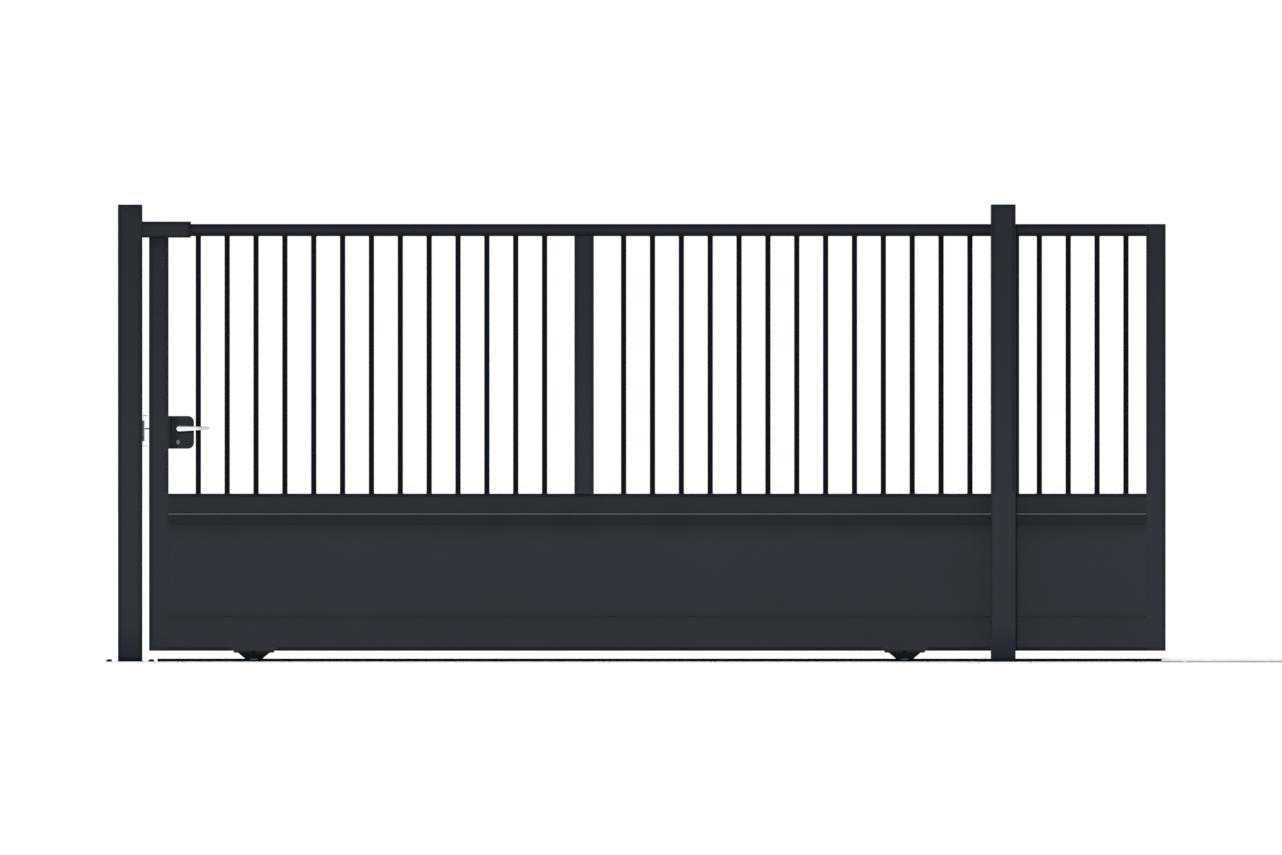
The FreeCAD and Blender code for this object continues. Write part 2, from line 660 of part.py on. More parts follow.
def make_wheel(name, x):
    """A grooved wheel, revolved about its axle."""
    body = new_body(name)
    sketch = new_sketch(body, "XY_Plane")
    rim = wheel_dia / 2
    half = wheel_width / 2
    depth = axle_z - crown_centre
    reach = square_root(groove_radius * groove_radius - (depth - rim) * (depth - rim))
    dish_outer = rim - wheel_rim - groove_radius
    hub = wheel_hub_dia / 2
    side = half + wheel_hub_side
    bore = axle_dia / 2 + running_fit
    web = half - wheel_web_dish
    points = [(-side, bore), (side, bore), (side, hub), (web, hub), (web, dish_outer),
              (half, dish_outer), (half, rim), (reach, rim), (-reach, rim), (-half, rim),
              (-half, dish_outer), (-web, dish_outer), (-web, hub), (-side, hub)]
    add_outline(sketch, points, {7: (groove_radius, -1)})
    turn = body.newObject("PartDesign::Revolution", f"{name}_turn")
    turn.Profile = sketch
    turn.ReferenceAxis = (sketch, ["H_Axis"])
    turn.Angle = 360
    document.recompute()
    body.Placement = Placement(Vector(), Rotation(Vector(0, 0, 1), 90))
    bind(body, x=x, z=axle_z)


def make_carriage(name, axle_name, x):
    """A flange under the leaf, two tapered cheeks and the axle between them."""
    body = new_body(name)
    flange = new_sketch(body, "XY_Plane", leaf_bottom - carriage_thick)
    add_centred(flange, carriage_toe * 2, carriage_width, frame_corner)
    pad(body, flange, carriage_thick)
    opening = new_sketch(body, "XY_Plane", leaf_bottom - carriage_thick)
    add_centred(opening, wheel_slot, wheel_slot_width)
    for across in (-1, 1):
        for side in (-1, 1):
            add_circle(opening, carriage_hole_x * across, carriage_hole_y * side, carriage_hole)
    pocket(body, opening)
    for side in (-1, 1):
        offset = (cheek_gap / 2 + cheek_thick / 2) * side
        cheek = new_sketch(body, "XZ_Plane", offset)
        top = axle_z + cheek_crown
        add_outline(cheek, [(-cheek_foot, cheek_clear), (cheek_foot, cheek_clear),
                            (cheek_top, leaf_bottom - carriage_thick),
                            (cheek_shoulder, leaf_bottom), (cheek_crown, top),
                            (-cheek_crown, top), (-cheek_shoulder, leaf_bottom),
                            (-cheek_top, leaf_bottom - carriage_thick)])
        pad(body, cheek, cheek_thick, side="Symmetric")
    bore = new_sketch(body, "XZ_Plane")
    add_circle(bore, 0, axle_z, axle_dia + running_fit * 2)
    pocket(body, bore)
    bind(body, x=x)
    half_length = cheek_gap / 2 + cheek_thick + seat_gap
    shaft = cylinder(f"{axle_name}_shaft", axle_dia, half_length * 2, x, -half_length, axle_z, "y")
    near = cylinder(f"{axle_name}_near_head", axle_head_dia, axle_head_thick, x,
                    -half_length - axle_head_thick, axle_z, "y")
    far = cylinder(f"{axle_name}_far_head", axle_head_dia, axle_head_thick, x, half_length,
                   axle_z, "y")
    keep_part(joined(axle_name, [near, shaft, far]), axle_name)


def make_running_gear():
    for place, x in (("front", front_wheel), ("rear", rear_wheel)):
        make_carriage(f"carriage_{place}", f"axle_{place}", x)
        make_wheel(f"wheel_{place}", x)


# Portal bridge and guide rollers

def make_portal():
    body = new_body("portal_bridge")
    sketch = new_sketch(body, "XY_Plane")
    add_centred(sketch, bridge_width, portal_gap)
    pad(body, sketch, bridge_thick)
    roller_y = leaf_half + roller_gap + roller_dia / 2
    holes = new_sketch(body, "XY_Plane")
    places = [(roller_pitch / 2 * across, roller_y * side) for across in (-1, 1) for side in (-1, 1)]
    for x, y in places:
        add_circle(holes, x, y, axle_dia + running_fit * 2)
    pocket(body, holes)
    bind(body, x=post_spacing, z=bridge_bottom)
    roller_bottom = leaf_top - roller_drop - roller_height
    rollers = new_body("guide_rollers")
    outside = new_sketch(rollers, "XY_Plane")
    bores = new_sketch(rollers, "XY_Plane")
    for x, y in places:
        add_circle(outside, x, y, roller_dia)
        add_circle(bores, x, y, axle_dia + running_fit * 2)
    pad(rollers, outside, roller_height)
    round_rims(rollers, roller_edge, "z", [as_size(0), roller_height], ends=1)
    pocket(rollers, bores)
    bind(rollers, x=post_spacing, z=roller_bottom)
    spindles = []
    for number, (x, y) in enumerate(places, 1):
        x = post_spacing + x
        head_bottom = roller_bottom - seat_gap - spindle_head_thick
        head = cylinder(f"spindle_head_{number}", spindle_head_dia, spindle_head_thick, x, y,
                        head_bottom)
        nut_bottom = bridge_bottom + bridge_thick
        shaft = cylinder(f"spindle_shaft_{number}", axle_dia,
                         nut_bottom + spindle_nut_height + spindle_end - head_bottom, x, y,
                         head_bottom)
        nut = helper("Part::Prism", f"spindle_nut_{number}", Circumradius=nut_radius,
                     Height=spindle_nut_height, x=x, y=y, z=nut_bottom)
        spindles.append(joined(f"spindle_{number}", [head, shaft, nut]))
    gathered("roller_spindles", spindles)


# Catcher, keep, lock and lever

def make_catcher():
    """An inverted channel over the leaf's top corner, open at its mouth."""
    body = new_body("catcher")
    sketch = new_sketch(body, "YZ_Plane")
    inner = leaf_half + catcher_side_gap
    outer = inner + catcher_wall
    add_outline(sketch, [(-outer, 0), (-inner, 0), (-inner, catcher_height - catcher_wall),
                         (inner, catcher_height - catcher_wall), (inner, 0), (outer, 0),
                         (outer, catcher_height), (-outer, catcher_height)])
    pad(body, sketch, catcher_reach)
    corners = new_sketch(body, "XZ_Plane")
    start = catcher_reach - catcher_corner
    add_outline(corners, [(start, 0), (catcher_reach, 0), (catcher_reach, catcher_corner)],
                {2: (catcher_corner, -1)})
    pocket(body, corners)
    bind(body, x=post_face, z=leaf_top + catcher_top_gap + catcher_wall - catcher_height)


def make_keep():
    """A keep with an upper and a lower jaw, open to both sides, and its lugs on the post."""
    body = new_body("lock_keep")
    sketch = new_sketch(body, "XZ_Plane")
    add_rectangle(sketch, 0, -keep_height / 2, keep_reach, keep_height, keep_corner)
    pad(body, sketch, keep_depth, side="Symmetric")
    floor = leaf_gap - tongue_entry - keep_floor_gap
    mouth = new_sketch(body, "YZ_Plane", floor)
    lower_jaw = spindle_rise - keep_rise - tongue_height / 2 - keep_play
    add_rectangle(mouth, -keep_depth, lower_jaw, keep_depth * 2, tongue_height + keep_play * 2)
    pocket(body, mouth, keep_reach - floor, side="One side", reverse=True)
    bind(body, x=post_face, z=lock_height + keep_rise)
    lugs = new_body("keep_lugs")
    for side in (-1, 1):
        lug = new_sketch(lugs, "XZ_Plane", (keep_depth / 2 + lug_thick / 2) * side)
        add_rectangle(lug, 0, -lug_height / 2, lug_reach, lug_height)
        pad(lugs, lug, lug_thick, side="Symmetric")
    bind(lugs, x=post_face, z=lock_height + keep_rise)


def make_lock():
    body = new_body("lock_case")
    sketch = new_sketch(body, "XZ_Plane")
    half = case_height / 2
    points = [(0, -half), (case_width - case_corner, -half), (case_width, -half + case_corner),
              (case_width, half - case_corner), (case_width - case_corner, half), (0, half)]
    add_outline(sketch, points, {1: (case_corner, 1), 3: (case_corner, 1)})
    pad(body, sketch, case_depth, side="Symmetric")
    round_rims(body, case_edge, "y", [case_depth / 2, -case_depth / 2])
    forend = new_sketch(body, "XZ_Plane")
    add_rectangle(forend, 0, -half, forend_thick, case_height)
    pad(body, forend, leaf_depth, side="Symmetric")
    bores = new_sketch(body, "XZ_Plane")
    add_circle(bores, spindle_inset, spindle_rise, spindle_dia + running_fit * 2)
    pocket(body, bores)
    way = new_sketch(body, "YZ_Plane")
    play = tongue_play
    add_rectangle(way, -tongue_width / 2 - play, spindle_rise - tongue_height / 2 - play,
                  tongue_width + play * 2, tongue_height + play * 2)
    pocket(body, way, (tongue_tail + tongue_throw + play) * 2)
    bind(body, x=infill_start, z=lock_height)
    key = new_body("key_cylinder")
    for side in (-1, 1):
        face = new_sketch(key, "XZ_Plane", case_depth / 2 * side)
        stem = cylinder_stem / 2
        radius = cylinder_dia / 2
        # The stem leaves the round part where that is as wide as the stem.
        joint = -square_root(cylinder_dia * cylinder_dia - cylinder_stem * cylinder_stem) / 2
        foot = radius - cylinder_height + stem
        add_outline(face, [(-stem, foot), (stem, foot), (stem, joint), (-stem, joint)],
                    {0: (stem, 1), 2: (radius, 2)})
        pad(key, face, cylinder_proud, reverse=side < 0)
    bind(key, x=spindle_x - cylinder_shift, z=spindle_z - cylinder_drop)


def make_lever():
    """Two levers on one spindle, one at each side of the case."""
    body = new_body("lever_handle")
    inner = case_depth / 2 + lever_offset
    outer = inner + lever_thick
    spindle = new_sketch(body, "XZ_Plane")
    add_circle(spindle, 0, 0, spindle_dia)
    pad(body, spindle, inner + outer, side="Symmetric")
    root = lever_root / 2
    tip = lever_tip / 2
    for side in (-1, 1):
        start = (case_depth / 2 + seat_gap) * side
        neck = new_sketch(body, "XZ_Plane", start)
        add_circle(neck, 0, 0, lever_neck_dia)
        pad(body, neck, lever_offset + lever_thick / 2 - seat_gap, reverse=side < 0)
        grip = new_sketch(body, "XZ_Plane", (inner + outer) / 2 * side)
        reach = lever_reach - tip
        add_outline(grip, [(0, -root), (reach, lever_rise - tip), (reach, lever_rise + tip), (0, root)],
                    {1: (tip, 1), 3: (root, 1)})
        pad(body, grip, lever_thick, side="Symmetric")
    round_rims(body, lever_edge, "y", [inner, outer, -inner, -outer])
    bind(body, x=spindle_x, z=spindle_z)
    tongue = new_body("latch_tongue")
    sketch = new_sketch(tongue, "YZ_Plane")
    add_centred(sketch, tongue_width, tongue_height)
    pad(tongue, sketch, tongue_entry + stile_width + tongue_tail)
    bind(tongue, x=left_end - tongue_entry, z=spindle_z)


make_posts()
make_leaf()
make_bottom_rail()
make_infill()
make_track()
make_running_gear()
make_portal()
make_catcher()
make_keep()
make_lock()
make_lever()
document.recompute()

failed = [item.Label for item in document.Objects
          if "Invalid" in item.State or "Error" in item.State]
if failed:
    raise RuntimeError(f"failed: {failed}")
os.makedirs("parts", exist_ok=True)
for piece in parts:
    if piece.Shape.isNull() or not piece.Shape.isValid():
        raise RuntimeError(f"{piece.Label} has no valid shape")
for piece in parts:
    piece.Shape.exportStep(f"parts/{piece.Label}.step")
    box = piece.Shape.BoundBox
    print(f"{piece.Label}: {len(piece.Shape.Solids)} solids, x {box.XMin:.1f} to {box.XMax:.1f}, "
          f"y {box.YMin:.1f} to {box.YMax:.1f}, z {box.ZMin:.1f} to {box.ZMax:.1f}")
print(f"travel {travel.number} mm, axle at {axle_z.number} mm, {len(parts)} sub-parts")
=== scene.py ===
import math

import bpy
from mathutils import Euler, Matrix, Vector


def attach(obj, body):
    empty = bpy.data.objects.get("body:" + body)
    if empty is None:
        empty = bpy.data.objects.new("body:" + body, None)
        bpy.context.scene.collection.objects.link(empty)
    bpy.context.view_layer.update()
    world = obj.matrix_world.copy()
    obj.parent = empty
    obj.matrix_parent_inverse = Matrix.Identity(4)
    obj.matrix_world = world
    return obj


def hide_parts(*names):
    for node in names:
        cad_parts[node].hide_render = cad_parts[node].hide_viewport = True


# Sliding driveway gate, dressed on its CAD frame.
# Metres. X runs along the gate from the receiving post, -Y is the street side, Z is up.

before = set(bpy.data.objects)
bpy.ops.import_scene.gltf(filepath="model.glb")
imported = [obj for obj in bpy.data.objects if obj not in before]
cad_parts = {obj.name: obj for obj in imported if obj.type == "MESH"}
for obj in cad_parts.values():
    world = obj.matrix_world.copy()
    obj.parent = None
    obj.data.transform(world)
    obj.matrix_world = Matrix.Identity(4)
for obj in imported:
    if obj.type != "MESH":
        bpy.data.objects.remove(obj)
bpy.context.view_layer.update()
scene = bpy.context.scene
MM = 0.001


# Sizes that the dressing is set out from, read off the CAD frame where its nodes show them

X, Y, Z = range(3)
# A place past the gate on every side, for a box side without an edge
FAR = 10


def reach_of(node, axis):
    """Where a CAD node starts and ends along an axis, in metres to 0.01 mm."""
    places = [vertex.co[axis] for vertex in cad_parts[node].data.vertices]
    return round(min(places), 5), round(max(places), 5)


def start_of(node, axis):
    """The lower bound of a CAD node."""
    return reach_of(node, axis)[0]


def end_of(node, axis):
    """The upper bound of a CAD node."""
    return reach_of(node, axis)[1]


def middle_of(node, axis):
    """The middle of a CAD node."""
    return round(sum(reach_of(node, axis)) / 2, 5)


def half_of(node, axis):
    """Half the size of a CAD node."""
    return round((end_of(node, axis) - start_of(node, axis)) / 2, 5)


POST_HALF = half_of("receiving_post", X)
POST_TOP = end_of("receiving_post_cap", Z)
GUIDE_X = middle_of("guide_post_front", X)
POSTS = {post: (middle_of(post, X), middle_of(post, Y))
         for post in ("receiving_post", "guide_post_front", "guide_post_rear")}
BASES = {group: [(middle_of(plate, X), middle_of(plate, Y)) for plate in plates]
         for group, plates in (("receiving", ["receiving_base_plate"]),
                               ("guide", ["guide_base_plate_front", "guide_base_plate_rear"]))}
ANCHOR_REACH = half_of("receiving_base_plate", X) - 18 * MM
BASE_TOP = end_of("receiving_base_plate", Z)
LEAF_BOTTOM, LEAF_TOP = start_of("bottom_rail", Z), end_of("top_rail", Z)
LEAF_HALF = end_of("top_rail", Y)
PANEL_BOTTOM, PANEL_TOP = reach_of("infill_panel", Z)
TRIM_BOTTOM = start_of("panel_trim", Z)
STILE_HALF = half_of("stile_tail", X)
STILES = {stile: middle_of(stile, X)
          for stile in ("stile_receiving", "stile_middle", "stile_third", "stile_tail")}
BARS_BOTTOM, BARS_TOP = reach_of("bars_front_bay", Z)
BAR_RADIUS, BAR_SPACING = 11 * MM, 119 * MM
BAYS = ("bars_front_bay", "bars_middle_bay", "bars_tail_bay")
BAR_ROWS = [(start_of(bay, X) + BAR_RADIUS,
             round(2 * (half_of(bay, X) - BAR_RADIUS) / BAR_SPACING) + 1) for bay in BAYS]
CATCHER_MOUTH, CATCHER_HALF = end_of("catcher", X), end_of("catcher", Y)
CATCHER_BOTTOM, CATCHER_TOP = reach_of("catcher", Z)
WHEELS = {place: middle_of(f"axle_{place}", X) for place in ("front", "rear")}
AXLE_Z, AXLE_HEAD = middle_of("axle_front", Z), end_of("axle_front", Y)
CARRIAGE_HALF = half_of("carriage_front", X)
CARRIAGE_UNDERSIDE = LEAF_BOTTOM - 6 * MM
TRACK_START, TRACK_JOINT = reach_of("track_gateway", X)
TRACK_END = end_of("track_run_back", X)
FLANGE_TOP = 4 * MM
BRIDGE_BOTTOM, BRIDGE_TOP = reach_of("portal_bridge", Z)
ROLLER_TOP, ROLLER_RADIUS, ROLLER_PITCH = end_of("guide_rollers", Z), 20 * MM, 56 * MM
ROLLER_Y = LEAF_HALF + ROLLER_RADIUS + 0.5 * MM
CASE_LEFT, CASE_RIGHT = reach_of("lock_case", X)
CASE_BOTTOM, CASE_TOP = reach_of("lock_case", Z)
FOREND = CASE_LEFT + 6 * MM
CASE_FACE = end_of("lock_case", Y) - 4 * MM
SPINDLE_X, SPINDLE_Z = start_of("lever_handle", X) + 11.5 * MM, middle_of("lever_handle", Z)
KEY_X, KEY_Z = middle_of("key_cylinder", X), middle_of("key_cylinder", Z) + 2 * MM
KEY_FACE = end_of("key_cylinder", Y)
KEEP_BOTTOM, KEEP_TOP = reach_of("lock_keep", Z)


# Nodes and colours

def linear(code):
    """An sRGB hex colour as the linear value that the shaders read."""
    channels = [int(code[start:start + 2], 16) / 255 for start in (1, 3, 5)]
    return tuple(c / 12.92 if c <= 0.04045 else ((c + 0.055) / 1.055) ** 2.4 for c in channels) + (1,)


def add_node(tree, kind, inputs=None, **settings):
    """One node with its settings; an input takes a number, a colour or another node's socket."""
    node = tree.nodes.new(kind)
    for name, value in settings.items():
        setattr(node, name, value)
    for name, value in (inputs or {}).items():
        if isinstance(value, bpy.types.NodeSocket):
            tree.links.new(value, node.inputs[name])
        else:
            node.inputs[name].default_value = value
    return node


def new_finish(name, **constants):
    """A material with a Principled shader and its constant sockets, and the place on the object."""
    material = bpy.data.materials.new(name)
    material.use_nodes = True
    tree = material.node_tree
    tree.nodes.clear()
    shader = add_node(tree, "ShaderNodeBsdfPrincipled", constants)
    add_node(tree, "ShaderNodeOutputMaterial", {"Surface": shader.outputs["BSDF"]})
    place = add_node(tree, "ShaderNodeTexCoord").outputs["Object"]
    return material, tree, shader, place


def lay_on(tree, shader, colour, gloss, relief):
    """Join a finish's colour, its roughness and its relief to the shader.

    gloss is (pattern, least, most) and relief is (pattern, strength, depth in mm)."""
    tree.links.new(colour, shader.inputs["Base Color"])
    level = add_node(tree, "ShaderNodeMapRange", {"Value": gloss[0], "To Min": gloss[1],
                                                  "To Max": gloss[2]})
    tree.links.new(level.outputs["Result"], shader.inputs["Roughness"])
    bump = add_node(tree, "ShaderNodeBump", {"Height": relief[0], "Strength": relief[1],
                                             "Distance": relief[2] * MM})
    tree.links.new(bump.outputs["Normal"], shader.inputs["Normal"])


def reopened(material):
    """A made finish's tree, its shader, the socket that gives its colour, and the place on the object."""
    tree = material.node_tree
    shader = next(node for node in tree.nodes if node.type == "BSDF_PRINCIPLED")
    place = add_node(tree, "ShaderNodeTexCoord").outputs["Object"]
    return tree, shader, shader.inputs["Base Color"].links[0].from_socket, place


# Finishes

SHEEN = linear("#B3DBFF")
# The blue that painted shade adds at the edges of tubes and the feet of posts.
PAINTED_SHADE_BLUE = linear("#000213")
SATIN = {"Specular IOR Level": 0.12, "Specular Tint": SHEEN}
DULL = {"Specular IOR Level": 0.08, "Specular Tint": SHEEN}


def edge_distance(tree, split, faces):
    """How far inside its nearest edge a point on a box lies, from the box's (axis, low, high, butted).

    butted gives where a side meets another member, from (axis, low, high): no edge counts there, and
    it comes back over 12 mm. 30 mm is deeper than any edge is drawn."""
    inward = []
    for axis, low, high, butted in faces:
        sides = []
        for side, start, end in (("low", split.outputs[axis], low), ("high", high, split.outputs[axis])):
            away = add_node(tree, "ShaderNodeMath", {0: start, 1: end}, operation="SUBTRACT").outputs[0]
            for along, near, far in butted.get(side, ()):
                off = add_node(tree, "ShaderNodeMath", {0: split.outputs[along], 1: (near + far) / 2},
                               operation="SUBTRACT").outputs[0]
                off = add_node(tree, "ShaderNodeMath", {0: off}, operation="ABSOLUTE").outputs[0]
                met = add_node(tree, "ShaderNodeMapRange", {"Value": off, "From Min": (far - near) / 2,
                                                            "From Max": (far - near) / 2 + 12 * MM,
                                                            "To Min": 30 * MM, "To Max": 0.0})
                away = add_node(tree, "ShaderNodeMath", {0: away, 1: met.outputs[0]},
                                operation="ADD").outputs[0]
            sides.append(away)
        inward.append(add_node(tree, "ShaderNodeMath", {0: sides[0], 1: sides[1]},
                               operation="MINIMUM").outputs[0])
    # On a face one distance is nothing; the next one up is the way to the edge.
    lesser = add_node(tree, "ShaderNodeMath", {0: inward[0], 1: inward[1]}, operation="MINIMUM").outputs[0]
    greater = add_node(tree, "ShaderNodeMath", {0: inward[0], 1: inward[1]}, operation="MAXIMUM").outputs[0]
    nearer = add_node(tree, "ShaderNodeMath", {0: greater, 1: inward[2]}, operation="MINIMUM").outputs[0]
    return add_node(tree, "ShaderNodeMath", {0: lesser, 1: nearer}, operation="MAXIMUM").outputs[0]


def smooth_shade(tree, ramps):
    """The product of smooth ramps, each from (value, start, end, low, high)."""
    shade = 1.0
    for value, start, end, low, high in ramps:
        ramp = add_node(tree, "ShaderNodeMapRange", {"Value": value, "From Min": start, "From Max": end,
                                                     "To Min": low, "To Max": high},
                        interpolation_type="SMOOTHSTEP")
        shade = add_node(tree, "ShaderNodeMath", {0: shade, 1: ramp.outputs["Result"]},
                         operation="MULTIPLY").outputs[0]
    return shade


def powder_coat(name, code, faces=(), rim=(0.58, 24), foot=False, head=0.74, specular=0.12):
    """Polyester powder coat on zinc-primed tube, satin, baked.

    It gives the eye a deep blue-grey with a soft blue sheen, fine orange peel and clouds of dust.
    It is painted a little paler low down and darker at the top, as light and shade by height; head is
    its painted shade at the top. Painted shade darkens and blues the edges of a tube: faces is its box, and
    rim is how dark the edge is and how many mm it takes to fade. foot darkens a post's foot as painted
    shade."""
    material, tree, shader, place = new_finish(name, **{"Specular IOR Level": specular,
                                                        "Specular Tint": SHEEN})
    # Dust lies in clouds a little under 0.3 m across.
    cloud = add_node(tree, "ShaderNodeTexNoise", {"Vector": place, "Scale": 1 / (286 * MM), "Detail": 4.0,
                                                  "Roughness": 0.6})
    split = add_node(tree, "ShaderNodeSeparateXYZ", {"Vector": place})
    # Dust clouds, and painted light and shade by height: paler low down, darker at the top.
    coat = smooth_shade(tree, [(cloud.outputs["Fac"], 0.3, 0.7, 0.96, 1.04),
                               (split.outputs["Z"], 0.4, 1.9, 1.04, head)])
    # Painted shade at the edges of a tube and at the foot of a post, with a blue added where it is darkest.
    deep = []
    if faces:
        deep.append((edge_distance(tree, split, faces), 6 * MM, rim[1] * MM, rim[0], 1.0))
    if foot:
        deep.append((split.outputs["Z"], 0.03, 0.18, 0.62, 1.0))
        deep.append((split.outputs["Z"], 0.018, 0.036, 0.29, 1.0))
    edge_and_foot_shade = smooth_shade(tree, deep)
    thick = add_node(tree, "ShaderNodeMath", {0: 1.0, 1: edge_and_foot_shade}, operation="SUBTRACT").outputs[0]
    blue = add_node(tree, "ShaderNodeVectorMath", {0: PAINTED_SHADE_BLUE[:3], "Scale": thick}, operation="SCALE")
    shade = add_node(tree, "ShaderNodeMath", {0: coat, 1: edge_and_foot_shade}, operation="MULTIPLY").outputs[0]
    colour = add_node(tree, "ShaderNodeVectorMath", {0: linear(code)[:3], 1: shade,
                                                     2: blue.outputs["Vector"]}, operation="MULTIPLY_ADD")
    # Orange peel is about 2 mm across; it is drawn 6 mm across so that it shows.
    peel = add_node(tree, "ShaderNodeTexNoise", {"Vector": place, "Scale": 1 / (6 * MM), "Detail": 1.0})
    lay_on(tree, shader, colour.outputs["Vector"], (cloud.outputs["Fac"], 0.42, 0.58),
           (peel.outputs["Fac"], 0.12, 0.4))
    return material


def galvanised(name, code):
    """Hot-dip galvanised steel, clean and pale, with a faint spangle of frosty grains."""
    material, tree, shader, place = new_finish(name, Metallic=0.9)
    # Spangle grains are 8 to 15 mm across, and stains a hand wide.
    grain = add_node(tree, "ShaderNodeTexVoronoi", {"Vector": place, "Scale": 1 / (12 * MM)})
    facet = add_node(tree, "ShaderNodeSeparateXYZ", {"Vector": grain.outputs["Color"]})
    stain = add_node(tree, "ShaderNodeTexNoise", {"Vector": place, "Scale": 1 / (111 * MM), "Detail": 6.0})
    tone = add_node(tree, "ShaderNodeMapRange", {"Value": facet.outputs["X"], "To Min": 0.94,
                                                 "To Max": 1.0})
    dull = add_node(tree, "ShaderNodeMapRange", {"Value": stain.outputs["Fac"], "From Min": 0.3,
                                                 "From Max": 0.7, "To Min": 0.94, "To Max": 1.04})
    shade = add_node(tree, "ShaderNodeMath", {0: tone.outputs["Result"], 1: dull.outputs["Result"]},
                     operation="MULTIPLY")
    colour = add_node(tree, "ShaderNodeVectorMath", {0: linear(code)[:3], "Scale": shade.outputs[0]},
                      operation="SCALE")
    lay_on(tree, shader, colour.outputs["Vector"], (facet.outputs["Y"], 0.42, 0.62),
           (stain.outputs["Fac"], 0.15, 0.5))
    return material


def turned_zinc(name, code, centre):
    """Turned steel, zinc plated, with fine rings round the axle."""
    material, tree, shader, place = new_finish(name, Metallic=1.0)
    middle = add_node(tree, "ShaderNodeMapping", {"Vector": place, "Location": [-c for c in centre]})
    # Tool marks are about 0.3 mm apart; they are drawn 1.5 mm apart so that they show.
    rings = add_node(tree, "ShaderNodeTexWave", {"Vector": middle.outputs["Vector"],
                                                 "Scale": 0.314 / (1.5 * MM), "Distortion": 0.4},
                     wave_type="RINGS", rings_direction="Y")
    tone = add_node(tree, "ShaderNodeMapRange", {"Value": rings.outputs["Fac"], "To Min": 0.8,
                                                 "To Max": 1.0})
    colour = add_node(tree, "ShaderNodeVectorMath", {0: linear(code)[:3], "Scale": tone.outputs["Result"]},
                      operation="SCALE")
    lay_on(tree, shader, colour.outputs["Vector"], (rings.outputs["Fac"], 0.25, 0.38),
           (rings.outputs["Fac"], 0.2, 0.1))
    return material


def brushed(name, code, stretch, rough=0.3, spread=0.12):
    """Metal ground on a belt: fine scratches that run the way that stretch keeps long."""
    material, tree, shader, place = new_finish(name, Metallic=1.0)
    drawn = add_node(tree, "ShaderNodeMapping", {"Vector": place, "Scale": stretch})
    # Scratches are about 0.2 mm apart; they are drawn 1.2 mm apart so that they show.
    lines = add_node(tree, "ShaderNodeTexNoise", {"Vector": drawn.outputs["Vector"],
                                                  "Scale": 1 / (1.2 * MM), "Detail": 3.0})
    tone = add_node(tree, "ShaderNodeMapRange", {"Value": lines.outputs["Fac"], "From Min": 0.3,
                                                 "From Max": 0.7, "To Min": 1 - spread, "To Max": 1.0})
    colour = add_node(tree, "ShaderNodeVectorMath", {0: linear(code)[:3], "Scale": tone.outputs["Result"]},
                      operation="SCALE")
    lay_on(tree, shader, colour.outputs["Vector"], (lines.outputs["Fac"], rough - 0.06, rough + 0.08),
           (lines.outputs["Fac"], 0.1, 0.05))
    return material


def moulded(name, code, rough, grain, depth, spread=0.06, **constants):
    """A cast, moulded or enamelled skin: one colour, slightly uneven, its grain and depth in mm."""
    material, tree, shader, place = new_finish(name, **constants)
    skin = add_node(tree, "ShaderNodeTexNoise", {"Vector": place, "Scale": 1 / (grain * MM), "Detail": 3.0})
    # Handling leaves patches about 70 mm across.
    patch = add_node(tree, "ShaderNodeTexNoise", {"Vector": place, "Scale": 1 / (71.4 * MM), "Detail": 3.0})
    tone = add_node(tree, "ShaderNodeMapRange", {"Value": patch.outputs["Fac"], "From Min": 0.3,
                                                 "From Max": 0.7, "To Min": 1 - spread,
                                                 "To Max": 1 + spread})
    colour = add_node(tree, "ShaderNodeVectorMath", {0: linear(code)[:3], "Scale": tone.outputs["Result"]},
                      operation="SCALE")
    lay_on(tree, shader, colour.outputs["Vector"], (patch.outputs["Fac"], rough - 0.06, rough + 0.06),
           (skin.outputs["Fac"], 0.25, depth))
    return material


def drip_coat(name, code, painted_highlight):
    """The drip profile's coat, with a painted highlight along its nose, where light from above would catch
    it.
    """
    material = powder_coat(name, code)
    tree, shader, colour, place = reopened(material)
    split = add_node(tree, "ShaderNodeSeparateXYZ", {"Vector": place})
    # The painted highlight lies in a band along the nose's top.
    nose = add_node(tree, "ShaderNodeMapRange", {"Value": split.outputs["Z"],
                                                 "From Min": PANEL_TOP - 7.5 * MM,
                                                 "From Max": PANEL_TOP - 4.5 * MM},
                    interpolation_type="SMOOTHSTEP")
    # Of a Mix node's sockets, 6, 7 and output 2 are the colours.
    mix = add_node(tree, "ShaderNodeMix", {0: nose.outputs["Result"], 6: colour, 7: linear(painted_highlight)},
                   data_type="RGBA")
    tree.links.new(mix.outputs[2], shader.inputs["Base Color"])
    return material


def rail_finish(name, crown, flange):
    """The first track length: its crown and neck black, painted shade for the shade under the leaf, over a
    galvanised flange.
    """
    material, tree, shader, place = new_finish(name, **{"Specular IOR Level": 0.03, "Specular Tint": SHEEN})
    split = add_node(tree, "ShaderNodeSeparateXYZ", {"Vector": place})
    # Smears about 25 mm across wobble the edge of the black by a millimetre and vary the gloss.
    smear = add_node(tree, "ShaderNodeTexNoise", {"Vector": place, "Scale": 1 / (25 * MM), "Detail": 3.0})
    level = add_node(tree, "ShaderNodeMath", {0: smear.outputs["Fac"], 1: 1 * MM, 2: split.outputs["Z"]},
                     operation="MULTIPLY_ADD")
    # The black begins about 8.5 mm up: painted shade on crown and neck.
    high = add_node(tree, "ShaderNodeMapRange", {"Value": level.outputs[0], "From Min": 8.1 * MM,
                                                 "From Max": 8.9 * MM})
    mix = add_node(tree, "ShaderNodeMix", {0: high.outputs["Result"], 6: linear(flange),
                                           7: linear(crown)}, data_type="RGBA")
    metal = add_node(tree, "ShaderNodeMapRange", {"Value": high.outputs["Result"], "To Min": 0.9,
                                                  "To Max": 0.0})
    tree.links.new(metal.outputs["Result"], shader.inputs["Metallic"])
    lay_on(tree, shader, mix.outputs[2], (smear.outputs["Fac"], 0.45, 0.7),
           (smear.outputs["Fac"], 0.15, 0.3))
    return material


